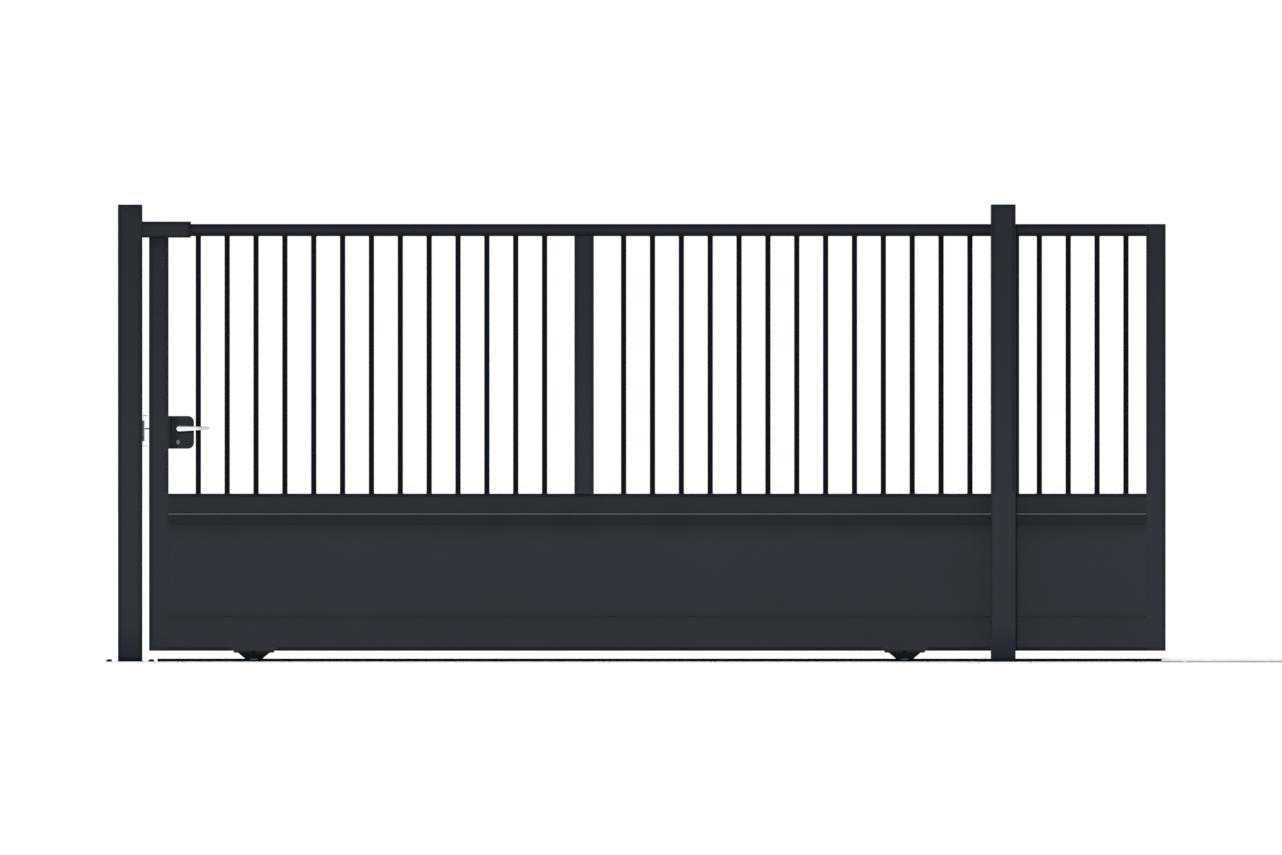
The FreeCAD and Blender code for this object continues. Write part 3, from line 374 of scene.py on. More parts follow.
def shaded(material, steps):
    """Multiply a finish's colour by ramps along the object's axes: (axis, from, to, low, high)."""
    tree, shader, colour, place = reopened(material)
    split = add_node(tree, "ShaderNodeSeparateXYZ", {"Vector": place})
    shade = smooth_shade(tree, [(split.outputs[axis], *ramp) for axis, *ramp in steps])
    dimmed = add_node(tree, "ShaderNodeVectorMath", {0: colour, "Scale": shade}, operation="SCALE")
    tree.links.new(dimmed.outputs["Vector"], shader.inputs["Base Color"])
    return material


def trodden(material, factor):
    """Darken what faces up on a finish, where grit lies and the wheels run."""
    tree, shader, colour, _ = reopened(material)
    normal = add_node(tree, "ShaderNodeNewGeometry").outputs["Normal"]
    facing = add_node(tree, "ShaderNodeSeparateXYZ", {"Vector": normal})
    level = add_node(tree, "ShaderNodeMapRange", {"Value": facing.outputs["Z"], "From Min": 0.8,
                                                  "From Max": 0.98, "To Min": 1.0, "To Max": factor})
    dimmed = add_node(tree, "ShaderNodeVectorMath", {0: colour, "Scale": level.outputs["Result"]},
                      operation="SCALE")
    tree.links.new(dimmed.outputs["Vector"], shader.inputs["Base Color"])
    return material


# ANTHRACITE is the coat's own colour. The rails, catcher, drip profile, bars and sheet wear the same coat,
# and their darker or lighter codes are painted shade and light.
ANTHRACITE = "#262A2E"
# Parts of the boxes that powder_coat takes as faces; FREE is for sides that meet no other member.
FREE = {}
ALONG = (X, -FAR, FAR, FREE)
LEAF_ACROSS = (Y, -LEAF_HALF, LEAF_HALF, FREE)
ENDLESS = (Z, -FAR, FAR, FREE)
BELOW_BARS = (Z, -FAR, BARS_BOTTOM)
OVER_CARRIAGES = {"low": [(X, x - CARRIAGE_HALF, x + CARRIAGE_HALF) for x in WHEELS.values()]}
finish = {
    "weld": powder_coat("powder_coat_on_weld", ANTHRACITE),
    "foot_weld": powder_coat("powder_coat_on_foot_weld", ANTHRACITE, foot=True),
    "bars": powder_coat("powder_coat_on_round_bar", "#080A0F", head=0.96, specular=0.08),
    # The drip profile's second colour is a painted highlight on its nose.
    "trim": drip_coat("powder_coat_on_drip_profile", "#1E2023", "#4A515A"),
    # The sheet carries painted shade under its drip profile and above the bottom rail.
    "panel": shaded(powder_coat("powder_coat_on_panel_sheet", "#272B2F"),
                    [(Z, TRIM_BOTTOM - 68 * MM, TRIM_BOTTOM, 1.0, 0.74),
                     (Z, PANEL_BOTTOM, PANEL_BOTTOM + 30 * MM, 0.88, 1.0)]),
    "top_rail": powder_coat("powder_coat_on_top_rail", "#202328",
                            (ALONG, LEAF_ACROSS, (Z, BARS_TOP, LEAF_TOP, FREE)), rim=(0.3, 24), head=0.96),
    "mid_rail": powder_coat("powder_coat_on_mid_rail", "#23262A",
                            (ALONG, LEAF_ACROSS, (*BELOW_BARS, FREE)), rim=(0.35, 22)),
    # Painted shade darkens the bottom rail towards its top, where the sheet meets it.
    "bottom_rail": shaded(powder_coat("powder_coat_on_bottom_rail", ANTHRACITE,
                                      (ALONG, LEAF_ACROSS, (Z, LEAF_BOTTOM, FAR, OVER_CARRIAGES)),
                                      rim=(0.25, 22)),
                          [(Z, PANEL_BOTTOM - 27 * MM, PANEL_BOTTOM, 1.0, 0.92)]),
    # The catcher's box goes 6 mm below its lower edge, so the painted edge shade fades from that edge at
    # once.
    "catcher": powder_coat("powder_coat_on_catcher", "#232629",
                           ((X, -FAR, CATCHER_MOUTH, FREE), (Y, -CATCHER_HALF, CATCHER_HALF, FREE),
                            (Z, CATCHER_BOTTOM - 6 * MM, CATCHER_TOP, FREE)), rim=(0.42, 22), head=0.96),
    # Painted shade darkens the case next to the stile and fades out towards its far side; it is darker
    # again over its last 13 mm.
    "lock": shaded(moulded("lock_case_enamel", "#22262A", 0.5, 1.5, 0.1, **SATIN),
                   [(X, FOREND, FOREND + 0.3 * MM, 1.0, 0.35),
                    (X, FOREND + 6 * MM, FOREND + 9 * MM, 1.0, 1.75),
                    (X, FOREND + 26 * MM, FOREND + 41 * MM, 1.0, 1.64),
                    (X, CASE_RIGHT - 13 * MM, CASE_RIGHT, 1.0, 0.8)]),
    "galvanised": galvanised("hot_dip_galvanised_steel", "#CDD1D4"),
    "base_plate": trodden(galvanised("galvanised_base_plate", "#FDFEFF"), 0.7),
    "run_back": trodden(galvanised("galvanised_strip_with_grit", "#FDFEFF"), 0.4),
    "black": moulded("black_enamel_greased", "#06090F", 0.5, 3.0, 0.2, spread=0.3, **DULL),
    # The carriages are coated with the leaf; painted shade darkens them towards the wheel, under the leaf.
    "carriage": shaded(moulded("coated_carriage_with_painted_shade", "#22262B", 0.5, 3.0, 0.2, spread=0.1, **DULL),
                       [(Z, AXLE_Z - 18 * MM, AXLE_Z, 0.17, 1.0)]),
    "dark_zinc": brushed("dark_zinc_plated_steel", "#6A7076", (1.0, 1.0, 0.3), rough=0.4),
    # Painted reflection: the keep's polished ends are darkened as though they mirrored the dark post beside
    # them.
    "stainless": shaded(brushed("satin_stainless_steel", "#FDFEFF", (1.0, 1.0, 0.05), spread=0.05),
                        [(Z, KEEP_BOTTOM + 1.4 * MM, KEEP_BOTTOM + 2.8 * MM, 0.1, 1.0),
                         (Z, KEEP_TOP - 3.3 * MM, KEEP_TOP - 1.9 * MM, 1.0, 0.1)]),
    "cylinder": brushed("satin_nickel_plated_brass", "#767C84", (1.0, 1.0, 0.2)),
    # The lever is darker at its tip, and painted shade darkens its upper edge.
    "aluminium": shaded(brushed("satin_anodised_aluminium", "#FAFEFF", (0.06, 1.0, 1.0), rough=0.36),
                        [(X, SPINDLE_X + 67 * MM, SPINDLE_X + 87 * MM, 1.0, 0.72),
                         (Z, SPINDLE_Z + 3.5 * MM, SPINDLE_Z + 8 * MM, 1.0, 0.5)]),
    "nylon": moulded("natural_cast_nylon", "#DDDBD0", 0.5, 2.0, 0.1, **{"Subsurface Weight": 0.1}),
    "rubber": moulded("black_moulded_rubber", "#15161A", 0.7, 1.0, 0.2),
    # The first track length's black crown is painted shade; the run-back stays pale.
    "rail": rail_finish("shaded_crown_on_galvanised_strip", "#05070A", "#FDFEFF"),
    "recess": moulded("painted_shade_in_holes", "#07080A", 0.8, 1.0, 0.1),
}
# What a side of an upright meets: the leaf behind the guide posts, the catcher, a rail or the lock
MEETS = {"receiving_post": {"high": [(Z, CATCHER_BOTTOM, CATCHER_TOP)]},
         "stile_receiving": {"high": [BELOW_BARS, (Z, CASE_BOTTOM, CASE_TOP)]},
         "stile_tail": {"low": [BELOW_BARS]}}
for upright in ("guide_post_front", "guide_post_rear", "stile_middle", "stile_third"):
    MEETS[upright] = {"low": [BELOW_BARS], "high": [BELOW_BARS]}
for post, (x, y) in POSTS.items():
    box = ((X, x - POST_HALF, x + POST_HALF, MEETS[post]), (Y, y - POST_HALF, y + POST_HALF, FREE),
           (Z, -FAR, POST_TOP, FREE))
    finish[post] = powder_coat(f"powder_coat_on_{post}", ANTHRACITE, box, foot=True)
for stile, x in STILES.items():
    ends = (Z, LEAF_BOTTOM, LEAF_TOP, FREE) if stile in ("stile_receiving", "stile_tail") else ENDLESS
    finish[stile] = powder_coat(f"powder_coat_on_{stile}", ANTHRACITE,
                                ((X, x - STILE_HALF, x + STILE_HALF, MEETS[stile]), LEAF_ACROSS, ends))
# Painted shade: the stile is darker below the catcher, as the catcher's shadow.
shaded(finish["stile_receiving"], [(Z, CATCHER_BOTTOM - 66 * MM, CATCHER_BOTTOM - 21 * MM, 1.0, 0.68)])
# The wheels' zinc is given a dark grey, painted shade for the shade under the leaf.
for place, x in WHEELS.items():
    finish[f"wheel_{place}"] = turned_zinc(f"turned_zinc_on_wheel_{place}", "#4E5257", (x, 0, AXLE_Z))

node_finish = {
    "galvanised": ["track_stop", "roller_spindles"],
    "base_plate": ["receiving_base_plate", "guide_base_plate_front", "guide_base_plate_rear"],
    "rail": ["track_gateway"],
    "run_back": ["track_run_back"],
    "black": ["receiving_anchors", "guide_anchors", "axle_front", "axle_rear"],
    "carriage": ["carriage_front", "carriage_rear"],
    "stainless": ["lock_keep"],
    "dark_zinc": ["keep_lugs", "latch_tongue"],
    "cylinder": ["key_cylinder"],
    "aluminium": ["lever_handle"],
    "lock": ["lock_case"],
    "nylon": ["guide_rollers"],
    "rubber": ["track_buffer"],
    "bars": ["bars_front_bay", "bars_middle_bay", "bars_tail_bay"],
    "panel": ["infill_panel"],
    "trim": ["panel_trim"],
    "weld": ["stile_caps", "portal_bridge"],
}
for name in [*STILES, "wheel_front", "wheel_rear", "top_rail", "mid_rail", "bottom_rail", "catcher"]:
    node_finish[name] = [name]
for name in POSTS:
    node_finish[name] = [name, f"{name}_cap"]
for name, nodes in node_finish.items():
    for node in nodes:
        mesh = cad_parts[node].data
        mesh.materials.clear()
        mesh.materials.append(finish[name])


# Ways of making a piece

def turned(profile, sides=24):
    """A closed mesh turned about Z; a point is (radius, height), numbers or functions of the angle."""
    points, rings, faces = [], [], []
    for radius, height in profile:
        if radius == 0:
            rings.append([len(points)] * sides)
            points.append((0, 0, height))
            continue
        rings.append([len(points) + step for step in range(sides)])
        for step in range(sides):
            angle = math.tau * step / sides
            reach = radius(angle) if callable(radius) else radius
            level = height(angle) if callable(height) else height
            points.append((reach * math.cos(angle), reach * math.sin(angle), level))
    for low, high in zip(rings, rings[1:]):
        for step in range(sides):
            after = (step + 1) % sides
            corners = list(dict.fromkeys((low[step], low[after], high[after], high[step])))
            faces.append(corners)
    mesh = bpy.data.meshes.new("turned")
    mesh.from_pydata([Vector(p) * MM for p in points], [], faces)
    return mesh


def ring_bead(radius, thick, sides=16, around=6):
    """A round bead laid in the corner between a bar and the rail that it meets."""
    points, faces = [], []
    for step in range(sides):
        turn = math.tau * step / sides
        for part in range(around):
            lean = math.tau * part / around
            reach = radius + thick * math.cos(lean)
            points.append((reach * math.cos(turn), reach * math.sin(turn), thick * math.sin(lean)))
    for step in range(sides):
        for part in range(around):
            after, above = (step + 1) % sides, (part + 1) % around
            faces.append([step * around + part, after * around + part, after * around + above,
                          step * around + above])
    mesh = bpy.data.meshes.new("ring_bead")
    mesh.from_pydata([Vector(p) * MM for p in points], [], faces)
    return mesh


def hex_radius(flats):
    """The radius of a hexagon at an angle."""
    def radius(angle):
        lean = (angle + math.pi / 6) % (math.pi / 3) - math.pi / 6
        return flats / 2 / math.cos(lean)
    return radius


def hex_profile(flats, bottom, top):
    """A hexagon nut or head with its corners chamfered at 30 degrees at both ends."""
    side = hex_radius(flats)
    inner = flats * 0.475

    def fall(angle):
        return (side(angle) - inner) * math.tan(math.radians(30))

    return [(inner, bottom), (side, lambda angle: bottom + fall(angle)),
            (side, lambda angle: top - fall(angle)), (inner, top)]


def joined(meshes):
    """One mesh from (mesh, matrix) pairs."""
    points, faces = [], []
    for mesh, place in meshes:
        start = len(points)
        points += [place @ vertex.co for vertex in mesh.vertices]
        faces += [[start + index for index in face.vertices] for face in mesh.polygons]
    made = bpy.data.meshes.new("joined")
    made.from_pydata(points, [], faces)
    return made


def prism(outline, bottom, top):
    """An upright block on an (x, y) outline, in metres, with its faces outwards."""
    turn = sum(a[0] * b[1] - b[0] * a[1] for a, b in zip(outline, outline[1:] + outline[:1]))
    outline = outline if turn > 0 else outline[::-1]
    count = len(outline)
    points = [(x, y, z) for z in (bottom, top) for x, y in outline]
    faces = [list(range(count))[::-1], list(range(count, 2 * count))]
    faces += [[n, (n + 1) % count, count + (n + 1) % count, count + n] for n in range(count)]
    mesh = bpy.data.meshes.new("prism")
    mesh.from_pydata(points, [], faces)
    return mesh


def dress(name, mesh, body, material, soft=30):
    """Put a finished mesh in the scene on its CAD body; faces flatter than soft degrees shade smooth."""
    mesh.materials.clear()
    mesh.materials.append(finish[material])
    mesh.validate()
    mesh.shade_smooth()
    mesh.set_sharp_from_angle(angle=math.radians(soft))
    mesh.name = name
    shown = bpy.data.objects.new(name, mesh)
    scene.collection.objects.link(shown)
    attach(shown, body)
    return shown


def row_tree():
    """Geometry Nodes that set a fastener or a weld drop out along a straight row."""
    tree = bpy.data.node_groups.new("fastener_row", "GeometryNodeTree")
    sockets = [("Count", "NodeSocketInt"), ("Start", "NodeSocketVector"), ("Step", "NodeSocketVector"),
               ("Fastener", "NodeSocketObject"), ("Lean", "NodeSocketRotation"),
               ("Turn Each", "NodeSocketFloat"), ("Seed", "NodeSocketInt"),
               ("Finish", "NodeSocketMaterial")]
    for name, kind in sockets:
        tree.interface.new_socket(name, in_out="INPUT", socket_type=kind)
    tree.interface.new_socket("Geometry", in_out="OUTPUT", socket_type="NodeSocketGeometry")
    given = add_node(tree, "NodeGroupInput").outputs
    line = add_node(tree, "GeometryNodeMeshLine", {"Count": given["Count"], "Offset": given["Step"],
                                                   "Start Location": given["Start"]}, mode="OFFSET")
    source = add_node(tree, "GeometryNodeObjectInfo", {"Object": given["Fastener"]})
    chance = add_node(tree, "FunctionNodeRandomValue", {"Min": 0.0, 3: given["Turn Each"],
                                                        "Seed": given["Seed"]}, data_type="FLOAT")
    spin = add_node(tree, "ShaderNodeCombineXYZ", {"Z": chance.outputs["Value"]})
    around = add_node(tree, "FunctionNodeEulerToRotation", {"Euler": spin.outputs["Vector"]})
    placed = add_node(tree, "FunctionNodeRotateRotation", {"Rotation": given["Lean"],
                                                           "Rotate By": around.outputs["Rotation"]},
                      rotation_space="LOCAL")
    copies = add_node(tree, "GeometryNodeInstanceOnPoints",
                      {"Points": line.outputs["Mesh"], "Instance": source.outputs["Geometry"],
                       "Rotation": placed.outputs["Rotation"]})
    real = add_node(tree, "GeometryNodeRealizeInstances", {"Geometry": copies.outputs["Instances"]})
    coated = add_node(tree, "GeometryNodeSetMaterial", {"Geometry": real.outputs["Geometry"],
                                                        "Material": given["Finish"]})
    add_node(tree, "NodeGroupOutput", {"Geometry": coated.outputs["Geometry"]})
    return tree


ROW = row_tree()
ROW_SOCKET = {item.name: item.identifier for item in ROW.interface.items_tree}


def set_out(pattern, rows, material, turn=0.0):
    """The pattern mesh along each (start, step, count, lean) row, as one plain mesh.

    lean lays the pattern's Z axis along the fastener's own axis, and turn is the largest chance
    turn about it."""
    fastener = bpy.data.objects.new("pattern", pattern)
    scene.collection.objects.link(fastener)
    carrier = bpy.data.objects.new("row", bpy.data.meshes.new("row"))
    scene.collection.objects.link(carrier)
    made = []
    for number, (start, step, count, lean) in enumerate(rows):
        layer = carrier.modifiers.new("Row", "NODES")
        layer.node_group = ROW
        for name, value in (("Count", count), ("Start", start), ("Step", step), ("Fastener", fastener),
                            ("Lean", lean), ("Turn Each", turn), ("Seed", number),
                            ("Finish", finish[material])):
            layer[ROW_SOCKET[name]] = value
        graph = bpy.context.evaluated_depsgraph_get()
        made.append((bpy.data.meshes.new_from_object(carrier.evaluated_get(graph)), Matrix()))
        carrier.modifiers.remove(layer)
    bpy.data.objects.remove(carrier)
    bpy.data.objects.remove(fastener)
    return joined(made)


def dress_rows(name, pattern, rows, body, material, turn=0.0, soft=30):
    """Put the pattern in the scene along its rows, as one piece."""
    return dress(name, set_out(pattern, rows, material, turn), body, material, soft)


# How a row's fasteners face, and the step of a row of one
UP = (0.0, 0.0, 0.0)
DOWN = (math.pi, 0.0, 0.0)
STREET = (math.pi / 2, 0.0, 0.0)
YARD = (-math.pi / 2, 0.0, 0.0)
BACK = (0.0, -math.pi / 2, 0.0)
STILL = (0, 0, 0)


def both_faces(places, reach, step=STILL, count=1):
    """Rows from the (x, z) places, reach away from the leaf's middle: the street side's come first."""
    return [((x, reach * side, z), step, count, lean)
            for side, lean in ((-1, STREET), (1, YARD)) for x, z in places]


def bolt_rows(start, end, count):
    """Both rows of bolts in a track length, the outer ones 95 mm from its ends."""
    margin, reach = 95 * MM, 19 * MM
    gap = (end - start - 2 * margin) / (count - 1)
    return [((start + margin, reach * side, FLANGE_TOP), (gap, 0, 0), count, UP) for side in (-1, 1)]


# Fasteners, in mm

nut_m12 = turned([(6, 0.2)] + hex_profile(19, 0, 6) + [(6, 5.8)])
washer_m12 = turned([(6, 0), (11.6, 0), (12, 0.3), (12, 2.2), (11.6, 2.5), (6, 2.5)])
stud_end = turned([(0, 0), (6, 0), (6, 2.0), (5.3, 2.5), (0, 2.5)], sides=20)
bolt_m8 = turned([(8, 0), (8, 1.5), (6.4, 1.5)] + hex_profile(13, 1.5, 7)[1:]
                 + [(3.4, 7), (3.1, 6.7), (0, 6.7)])
screw_head = turned([(0, 0), (4.4, 0), (4.2, 1.2), (3.2, 2.1), (2.0, 2.3), (hex_radius(2.5), 2.3),
                     (hex_radius(2.5), 0.9), (0, 0.9)])
anchor_stack = joined([(washer_m12, Matrix.Translation((0, 0, BASE_TOP))),
                       (nut_m12, Matrix.Translation((0, 0, BASE_TOP + 2.5 * MM))),
                       (stud_end, Matrix.Translation((0, 0, BASE_TOP + 6.5 * MM)))])


# Anchors on the base plates
for group, centres in BASES.items():
    rows = [((x - ANCHOR_REACH, y + ANCHOR_REACH * side, 0), (2 * ANCHOR_REACH, 0, 0), 2, UP)
            for x, y in centres for side in (-1, 1)]
    anchors = dress_rows(f"{group}_anchor_nuts", anchor_stack, rows, "root", "black",
                         turn=math.tau)
    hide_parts(f"{group}_anchors")

# Bolts of the track, its end stop and the carriages
gateway_pairs, run_back_pairs = 10, 6
rows = bolt_rows(TRACK_START, TRACK_JOINT, gateway_pairs)
# The bolts take the first track length's finish, so their heads carry its painted shade too.
dress_rows("gateway_bolts", bolt_m8, rows, "root", "rail", turn=math.tau)
stop_x, stop_reach, stop_top = start_of("track_stop", X) + 34 * MM, 17 * MM, 8 * MM
rows = bolt_rows(TRACK_JOINT, TRACK_END, run_back_pairs)
rows += [((stop_x, stop_reach * side, stop_top), STILL, 1, UP) for side in (-1, 1)]
dress_rows("run_back_bolts", bolt_m8, rows, "root", "run_back", turn=math.tau)
low_head = turned([(6.5, 0), (6.5, 0.9), (5.4, 1.9), (hex_radius(5), 1.9), (hex_radius(5), 0.4), (0, 0.4)])
bolt_back, bolt_reach = 75 * MM, 13 * MM
rows = [((x - bolt_back, bolt_reach * side, CARRIAGE_UNDERSIDE), (2 * bolt_back, 0, 0), 2, DOWN)
        for x in WHEELS.values() for side in (-1, 1)]
dress_rows("carriage_bolts", low_head, rows, "leaf", "black", turn=math.tau)

# Weld beads at the bars, the posts' feet, the catcher, the bridge and the carriages
rows = [((start, 0, level), (BAR_SPACING, 0, 0), count, UP)
        for start, count in BAR_ROWS for level in (BARS_BOTTOM, BARS_TOP)]
ring = ring_bead(BAR_RADIUS / MM + 0.4, 2.0)
dress_rows("bar_welds", ring, rows, "leaf", "weld", soft=60)

drop = turned([(0, -2.6), (2.2, -1.8), (3.4, 0), (2.2, 1.8), (0, 2.6)], sides=8)
pitch = 3 * MM
foot_count, foot_out = 29, POST_HALF + 0.8 * MM
foot_half = pitch * (foot_count - 1) / 2
rows = []
for x, y in POSTS.values():
    for side in (-1, 1):
        rows.append(((x - foot_half, y + foot_out * side, BASE_TOP), (pitch, 0, 0), foot_count, UP))
        rows.append(((x + foot_out * side, y - foot_half, BASE_TOP), (0, pitch, 0), foot_count, UP))
dress_rows("post_foot_welds", drop, rows, "root", "foot_weld", soft=60)

catcher_count, catcher_out, catcher_up = 20, 0.5 * MM, 4 * MM
rows = [((POST_HALF + catcher_out, (CATCHER_HALF + catcher_out) * side, CATCHER_BOTTOM + catcher_up),
         (0, 0, pitch), catcher_count, STREET) for side in (-1, 1)]
dress_rows("catcher_welds", drop, rows, "root", "weld", soft=60)

bridge_count, bridge_back, bridge_reach = 32, 47 * MM, end_of("portal_bridge", Y) - 0.8 * MM
rows = [((GUIDE_X - bridge_back, bridge_reach * side, z), (pitch, 0, 0), bridge_count, UP)
        for side in (-1, 1) for z in (BRIDGE_BOTTOM, BRIDGE_TOP)]
dress_rows("bridge_welds", drop, rows, "root", "weld", soft=60)

cheek_count, cheek_back, cheek_reach = 45, 66 * MM, 17.2 * MM
rows = [((x - cheek_back, cheek_reach * side, CARRIAGE_UNDERSIDE), (pitch, 0, 0), cheek_count, UP)
        for x in WHEELS.values() for side in (-1, 1)]
dress_rows("carriage_welds", drop, rows, "leaf", "black", soft=60)

# Portal: washers, lock nuts and thread ends of the roller spindles, and the rollers' bearing covers
rows = [((GUIDE_X - ROLLER_PITCH / 2, ROLLER_Y * side, 0), (ROLLER_PITCH, 0, 0), 2, UP)
        for side in (-1, 1)]
# Heights over the ground in mm: the bridge's underside and top, and the rollers' tops
under, over, rim = BRIDGE_BOTTOM / MM, BRIDGE_TOP / MM, ROLLER_TOP / MM
washer = turned([(6.1, over), (11.7, over), (12, over + 0.4), (12, over + 1.4), (11.7, over + 1.8),
                 (6.1, over + 1.8)])
lock_nut = turned([(6.1, under - 8)] + hex_profile(19, under - 8, under))
thread = turned([(6.0 + 0.25 * (step % 2), over + 10.2 + 0.6 * step) for step in range(8)]
                + [(0, over + 14.9)], sides=20)
steelwork = joined([(piece, Matrix()) for piece in (washer, lock_nut, thread)])
dress_rows("spindle_fasteners", steelwork, rows, "root", "galvanised")
cover = turned([(6.3, rim), (14, rim), (14, rim + 0.5), (13.5, rim + 0.9), (6.3, rim + 0.9)], sides=32)
dress_rows("roller_bearing_covers", cover, rows, "root", "dark_zinc")

# Grease nipples on the axle heads, the screw of the end stop's buffer, and drain holes under the leaf
nipple = turned([(0, 0)] + hex_profile(7, 0, 2.2)[:-1] + [(3, 2.2), (1.6, 2.4), (1.6, 3.6), (2.4, 4.4),
                                                         (2.4, 5.0), (1.7, 5.8), (0, 5.8)], sides=24)
rows = [row for x in WHEELS.values() for row in both_faces([(x, AXLE_Z)], AXLE_HEAD)]
dress_rows("grease_nipples", nipple, rows, "leaf", "black")
rows = [((start_of("track_buffer", X), 0, middle_of("track_buffer", Z)), STILL, 1, BACK)]
dress_rows("buffer_screw", screw_head, rows, "root", "dark_zinc")
# Drain holes are drawn as dark discs under the leaf: painted shade in place of holes.
drain = turned([(0, 0), (4, 0), (4, 0.15), (0, 0.15)], sides=20)
drain_start, drain_pitch, drain_count = 0.300, 0.935, 5
rows = [((drain_start, 0, LEAF_BOTTOM), (drain_pitch, 0, 0), drain_count, DOWN)]
dress_rows("drain_holes", drain, rows, "leaf", "recess")

# The leaf's joints, filled and ground flush over the rounded corners of the stiles
stile_side, rail_side, corner, deep, feather = 4.6 * MM, 0.8 * MM, 0.6 * MM, 3.6 * MM, 0.05 * MM
panel_back = 1 * MM
fills = []
for x, side in ((STILES["stile_receiving"] + STILE_HALF, 1), (STILES["stile_tail"] - STILE_HALF, -1)):
    for bottom, top, back in ((LEAF_BOTTOM + 4 * MM, PANEL_BOTTOM, 0),
                              (PANEL_BOTTOM, PANEL_TOP, panel_back),
                              (PANEL_TOP, BARS_BOTTOM, 0), (BARS_TOP, LEAF_TOP, 0)):
        for front in (-1, 1):
            heel = front * (LEAF_HALF - deep)
            outline = [(x - stile_side * side, front * (LEAF_HALF - feather)),
                       (x + rail_side * side, front * (LEAF_HALF - back)),
                       (x + rail_side * side, heel), (x - corner * side, heel)]
            fills.append(prism(outline, bottom, top))
dress("ground_frame_welds", joined([(fill, Matrix()) for fill in fills]), "leaf", "weld")

# Lock: screws of the case, bushes round the spindle, plugs and keyways of the key cylinder, keep screws
left, right, left_in, right_in = FOREND + 6 * MM, CASE_RIGHT - 17 * MM, 11.5 * MM, 16.5 * MM
corners = [(left, CASE_TOP - left_in), (right, CASE_TOP - right_in),
           (left, CASE_BOTTOM + left_in), (right, CASE_BOTTOM + right_in)]
dress_rows("lock_case_screws", screw_head, both_faces(corners, CASE_FACE), "leaf", "lock",
           turn=math.tau)
bush = turned([(8.8, 0), (13.5, 0), (13.5, 1.6), (12.5, 2.6), (9.4, 2.6), (8.8, 2.0)], sides=40)
dress_rows("spindle_bushes", bush, both_faces([(SPINDLE_X, SPINDLE_Z)], CASE_FACE), "leaf",
           "lock")
plug_thick, slit_down = 0.6 * MM, 0.5 * MM
plug = turned([(0, 0), (5.8, 0), (5.8, 0.3), (5.5, 0.6), (0, 0.6)], sides=32)
dress_rows("key_plugs", plug, both_faces([(KEY_X, KEY_Z)], KEY_FACE), "leaf", "cylinder")
# Keyways are drawn as dark slits on the plugs: painted shade in place of slots.
slit = turned([(0, 0), (hex_radius(1.6), 0), (hex_radius(1.6), 0.12), (0, 0.12)], sides=12)
slit.transform(Matrix.Diagonal((0.8, 4.2, 1, 1)))
dress_rows("keyways", slit, both_faces([(KEY_X, KEY_Z - slit_down)], KEY_FACE + plug_thick), "leaf",
           "recess")
keep_pitch = 56 * MM
lowest = (middle_of("keep_lugs", X), middle_of("keep_lugs", Z) - keep_pitch / 2)
rows = both_faces([lowest], end_of("keep_lugs", Y), (0, 0, keep_pitch), 2)
dress_rows("keep_screws", screw_head, rows, "root", "dark_zinc", turn=math.tau)


# Floor, light and camera

FLOOR_GREY, FLOOR_GLOW = (0.25, 0.25, 0.25, 1), 0.87
SKY_ON_OBJECT, SKY_SEEN = 0.3, 1.0
WHITE = (1, 1, 1, 1)


def floor_finish():
    """White studio floor: a camera sees it white, and the object's shadow stays on it."""
    material = bpy.data.materials.new("white_studio_floor")
    material.use_nodes = True
    tree = material.node_tree
    tree.nodes.clear()
    path = add_node(tree, "ShaderNodeLightPath").outputs
    seen = add_node(tree, "ShaderNodeMath", {0: path["Is Camera Ray"], 1: path["Is Glossy Ray"]},
                    operation="MAXIMUM")
    pale = add_node(tree, "ShaderNodeBsdfDiffuse", {"Color": linear("#EDEDED")})
    dim = add_node(tree, "ShaderNodeBsdfDiffuse", {"Color": FLOOR_GREY})
    white = add_node(tree, "ShaderNodeEmission", {"Color": WHITE, "Strength": FLOOR_GLOW})
    both = add_node(tree, "ShaderNodeAddShader", {0: dim.outputs[0], 1: white.outputs[0]})
    mix = add_node(tree, "ShaderNodeMixShader", {0: seen.outputs[0], 1: pale.outputs[0],
                                                 2: both.outputs[0]})
    add_node(tree, "ShaderNodeOutputMaterial", {"Surface": mix.outputs[0]})
    return material


floor_mesh = bpy.data.meshes.new("floor")
span, sunk = 260, -0.5 * MM
floor_mesh.from_pydata([(-span, -span, sunk), (span, -span, sunk), (span, span, sunk), (-span, span, sunk)],
                       [], [(0, 1, 2, 3)])
floor_mesh.materials.append(floor_finish())
floor = bpy.data.objects.new("floor", floor_mesh)
scene.collection.objects.link(floor)

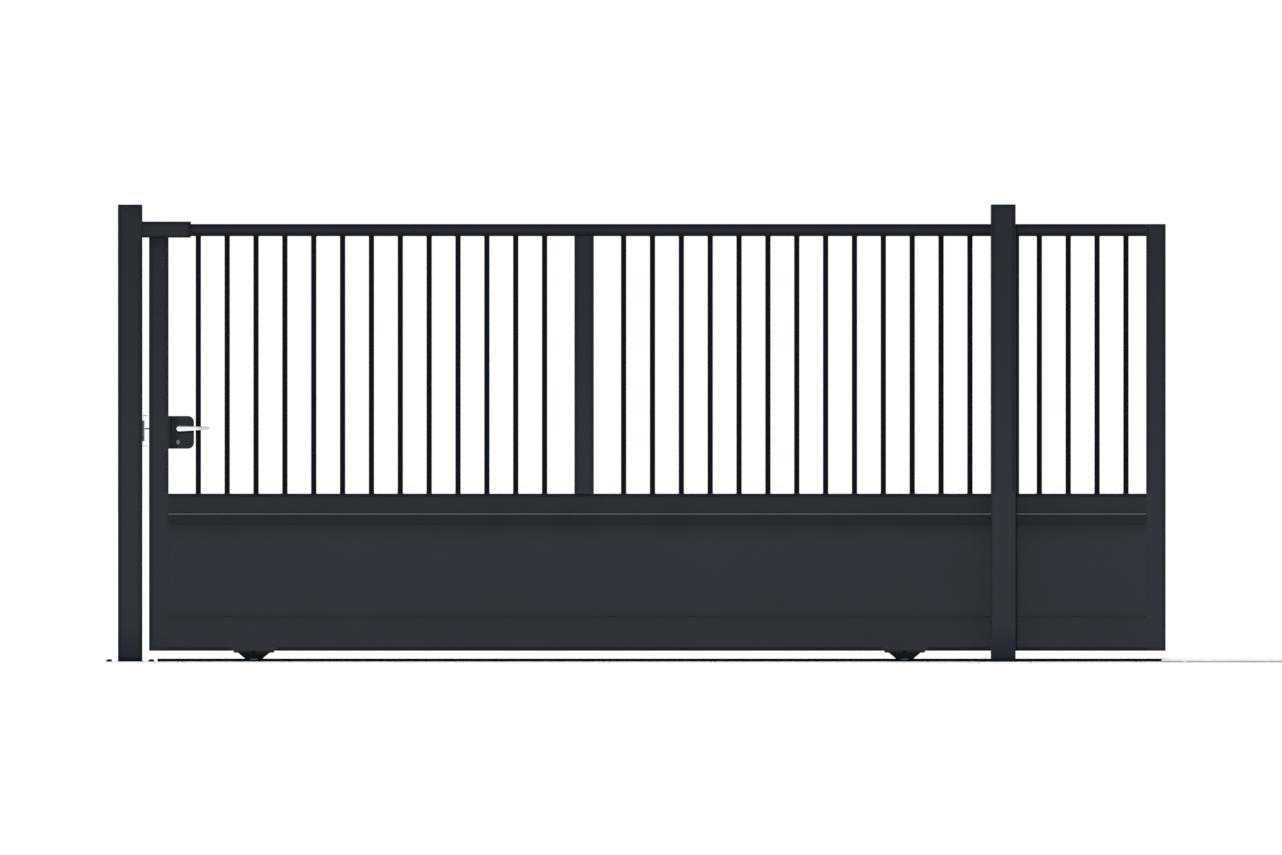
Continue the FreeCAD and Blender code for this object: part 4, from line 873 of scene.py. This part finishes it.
world = bpy.data.worlds.new("studio")
scene.world = world
world.use_nodes = True
world.node_tree.nodes.clear()
path = add_node(world.node_tree, "ShaderNodeLightPath").outputs
mirror = add_node(world.node_tree, "ShaderNodeMath", {0: path["Is Camera Ray"], 1: path["Is Glossy Ray"]},
                  operation="MAXIMUM")
seen = add_node(world.node_tree, "ShaderNodeMath", {0: mirror.outputs[0], 1: path["Is Transmission Ray"]},
                operation="MAXIMUM")
level = add_node(world.node_tree, "ShaderNodeMapRange", {"Value": seen.outputs[0],
                                                         "To Min": SKY_ON_OBJECT, "To Max": SKY_SEEN})
sky = add_node(world.node_tree, "ShaderNodeBackground", {"Color": WHITE,
                                                         "Strength": level.outputs["Result"]})
add_node(world.node_tree, "ShaderNodeOutputWorld", {"Surface": sky.outputs[0]})

# The key lamp stands at the street side, the fill lamp behind the gate and one lamp past each end
for name, energy, spread, towards in (("key", 2.4, 4, (-0.06, -0.97, 0.22)),
                                      ("fill", 1.9, 30, (0.35, 0.7, 0.62)),
                                      ("left", 0.5, 30, (-0.8, 0, 0.6)),
                                      ("right", 0.5, 30, (0.8, 0, 0.6))):
    light = bpy.data.lights.new(name, "SUN")
    light.energy = energy
    light.angle = math.radians(spread)
    lamp = bpy.data.objects.new(name, light)
    lamp.rotation_euler = Vector(towards).to_track_quat("Z", "Y").to_euler()
    # Diffusers hide the lamps themselves, so that gloss shows the white studio alone.
    lamp.visible_glossy = False
    scene.collection.objects.link(lamp)

# A long lens stands in for the photo's square view; FRAME_WIDTH is what it takes in at the leaf's face.
LENS, SENSOR, FRAME_WIDTH = 1000.0, 36.0, 5.2861
CAMERA_X, CAMERA_Z = 2.1066, 0.9729
camera_data = bpy.data.cameras.new("camera")
camera_data.lens = LENS
camera_data.sensor_width = SENSOR
camera_data.clip_start, camera_data.clip_end = 1.0, 1000.0
camera = bpy.data.objects.new("camera", camera_data)
camera.location = (CAMERA_X, -LEAF_HALF - FRAME_WIDTH * LENS / SENSOR, CAMERA_Z)
camera.rotation_euler = Euler((math.pi / 2, 0, 0))
scene.collection.objects.link(camera)
scene.camera = camera
scene.view_settings.view_transform = "Standard"
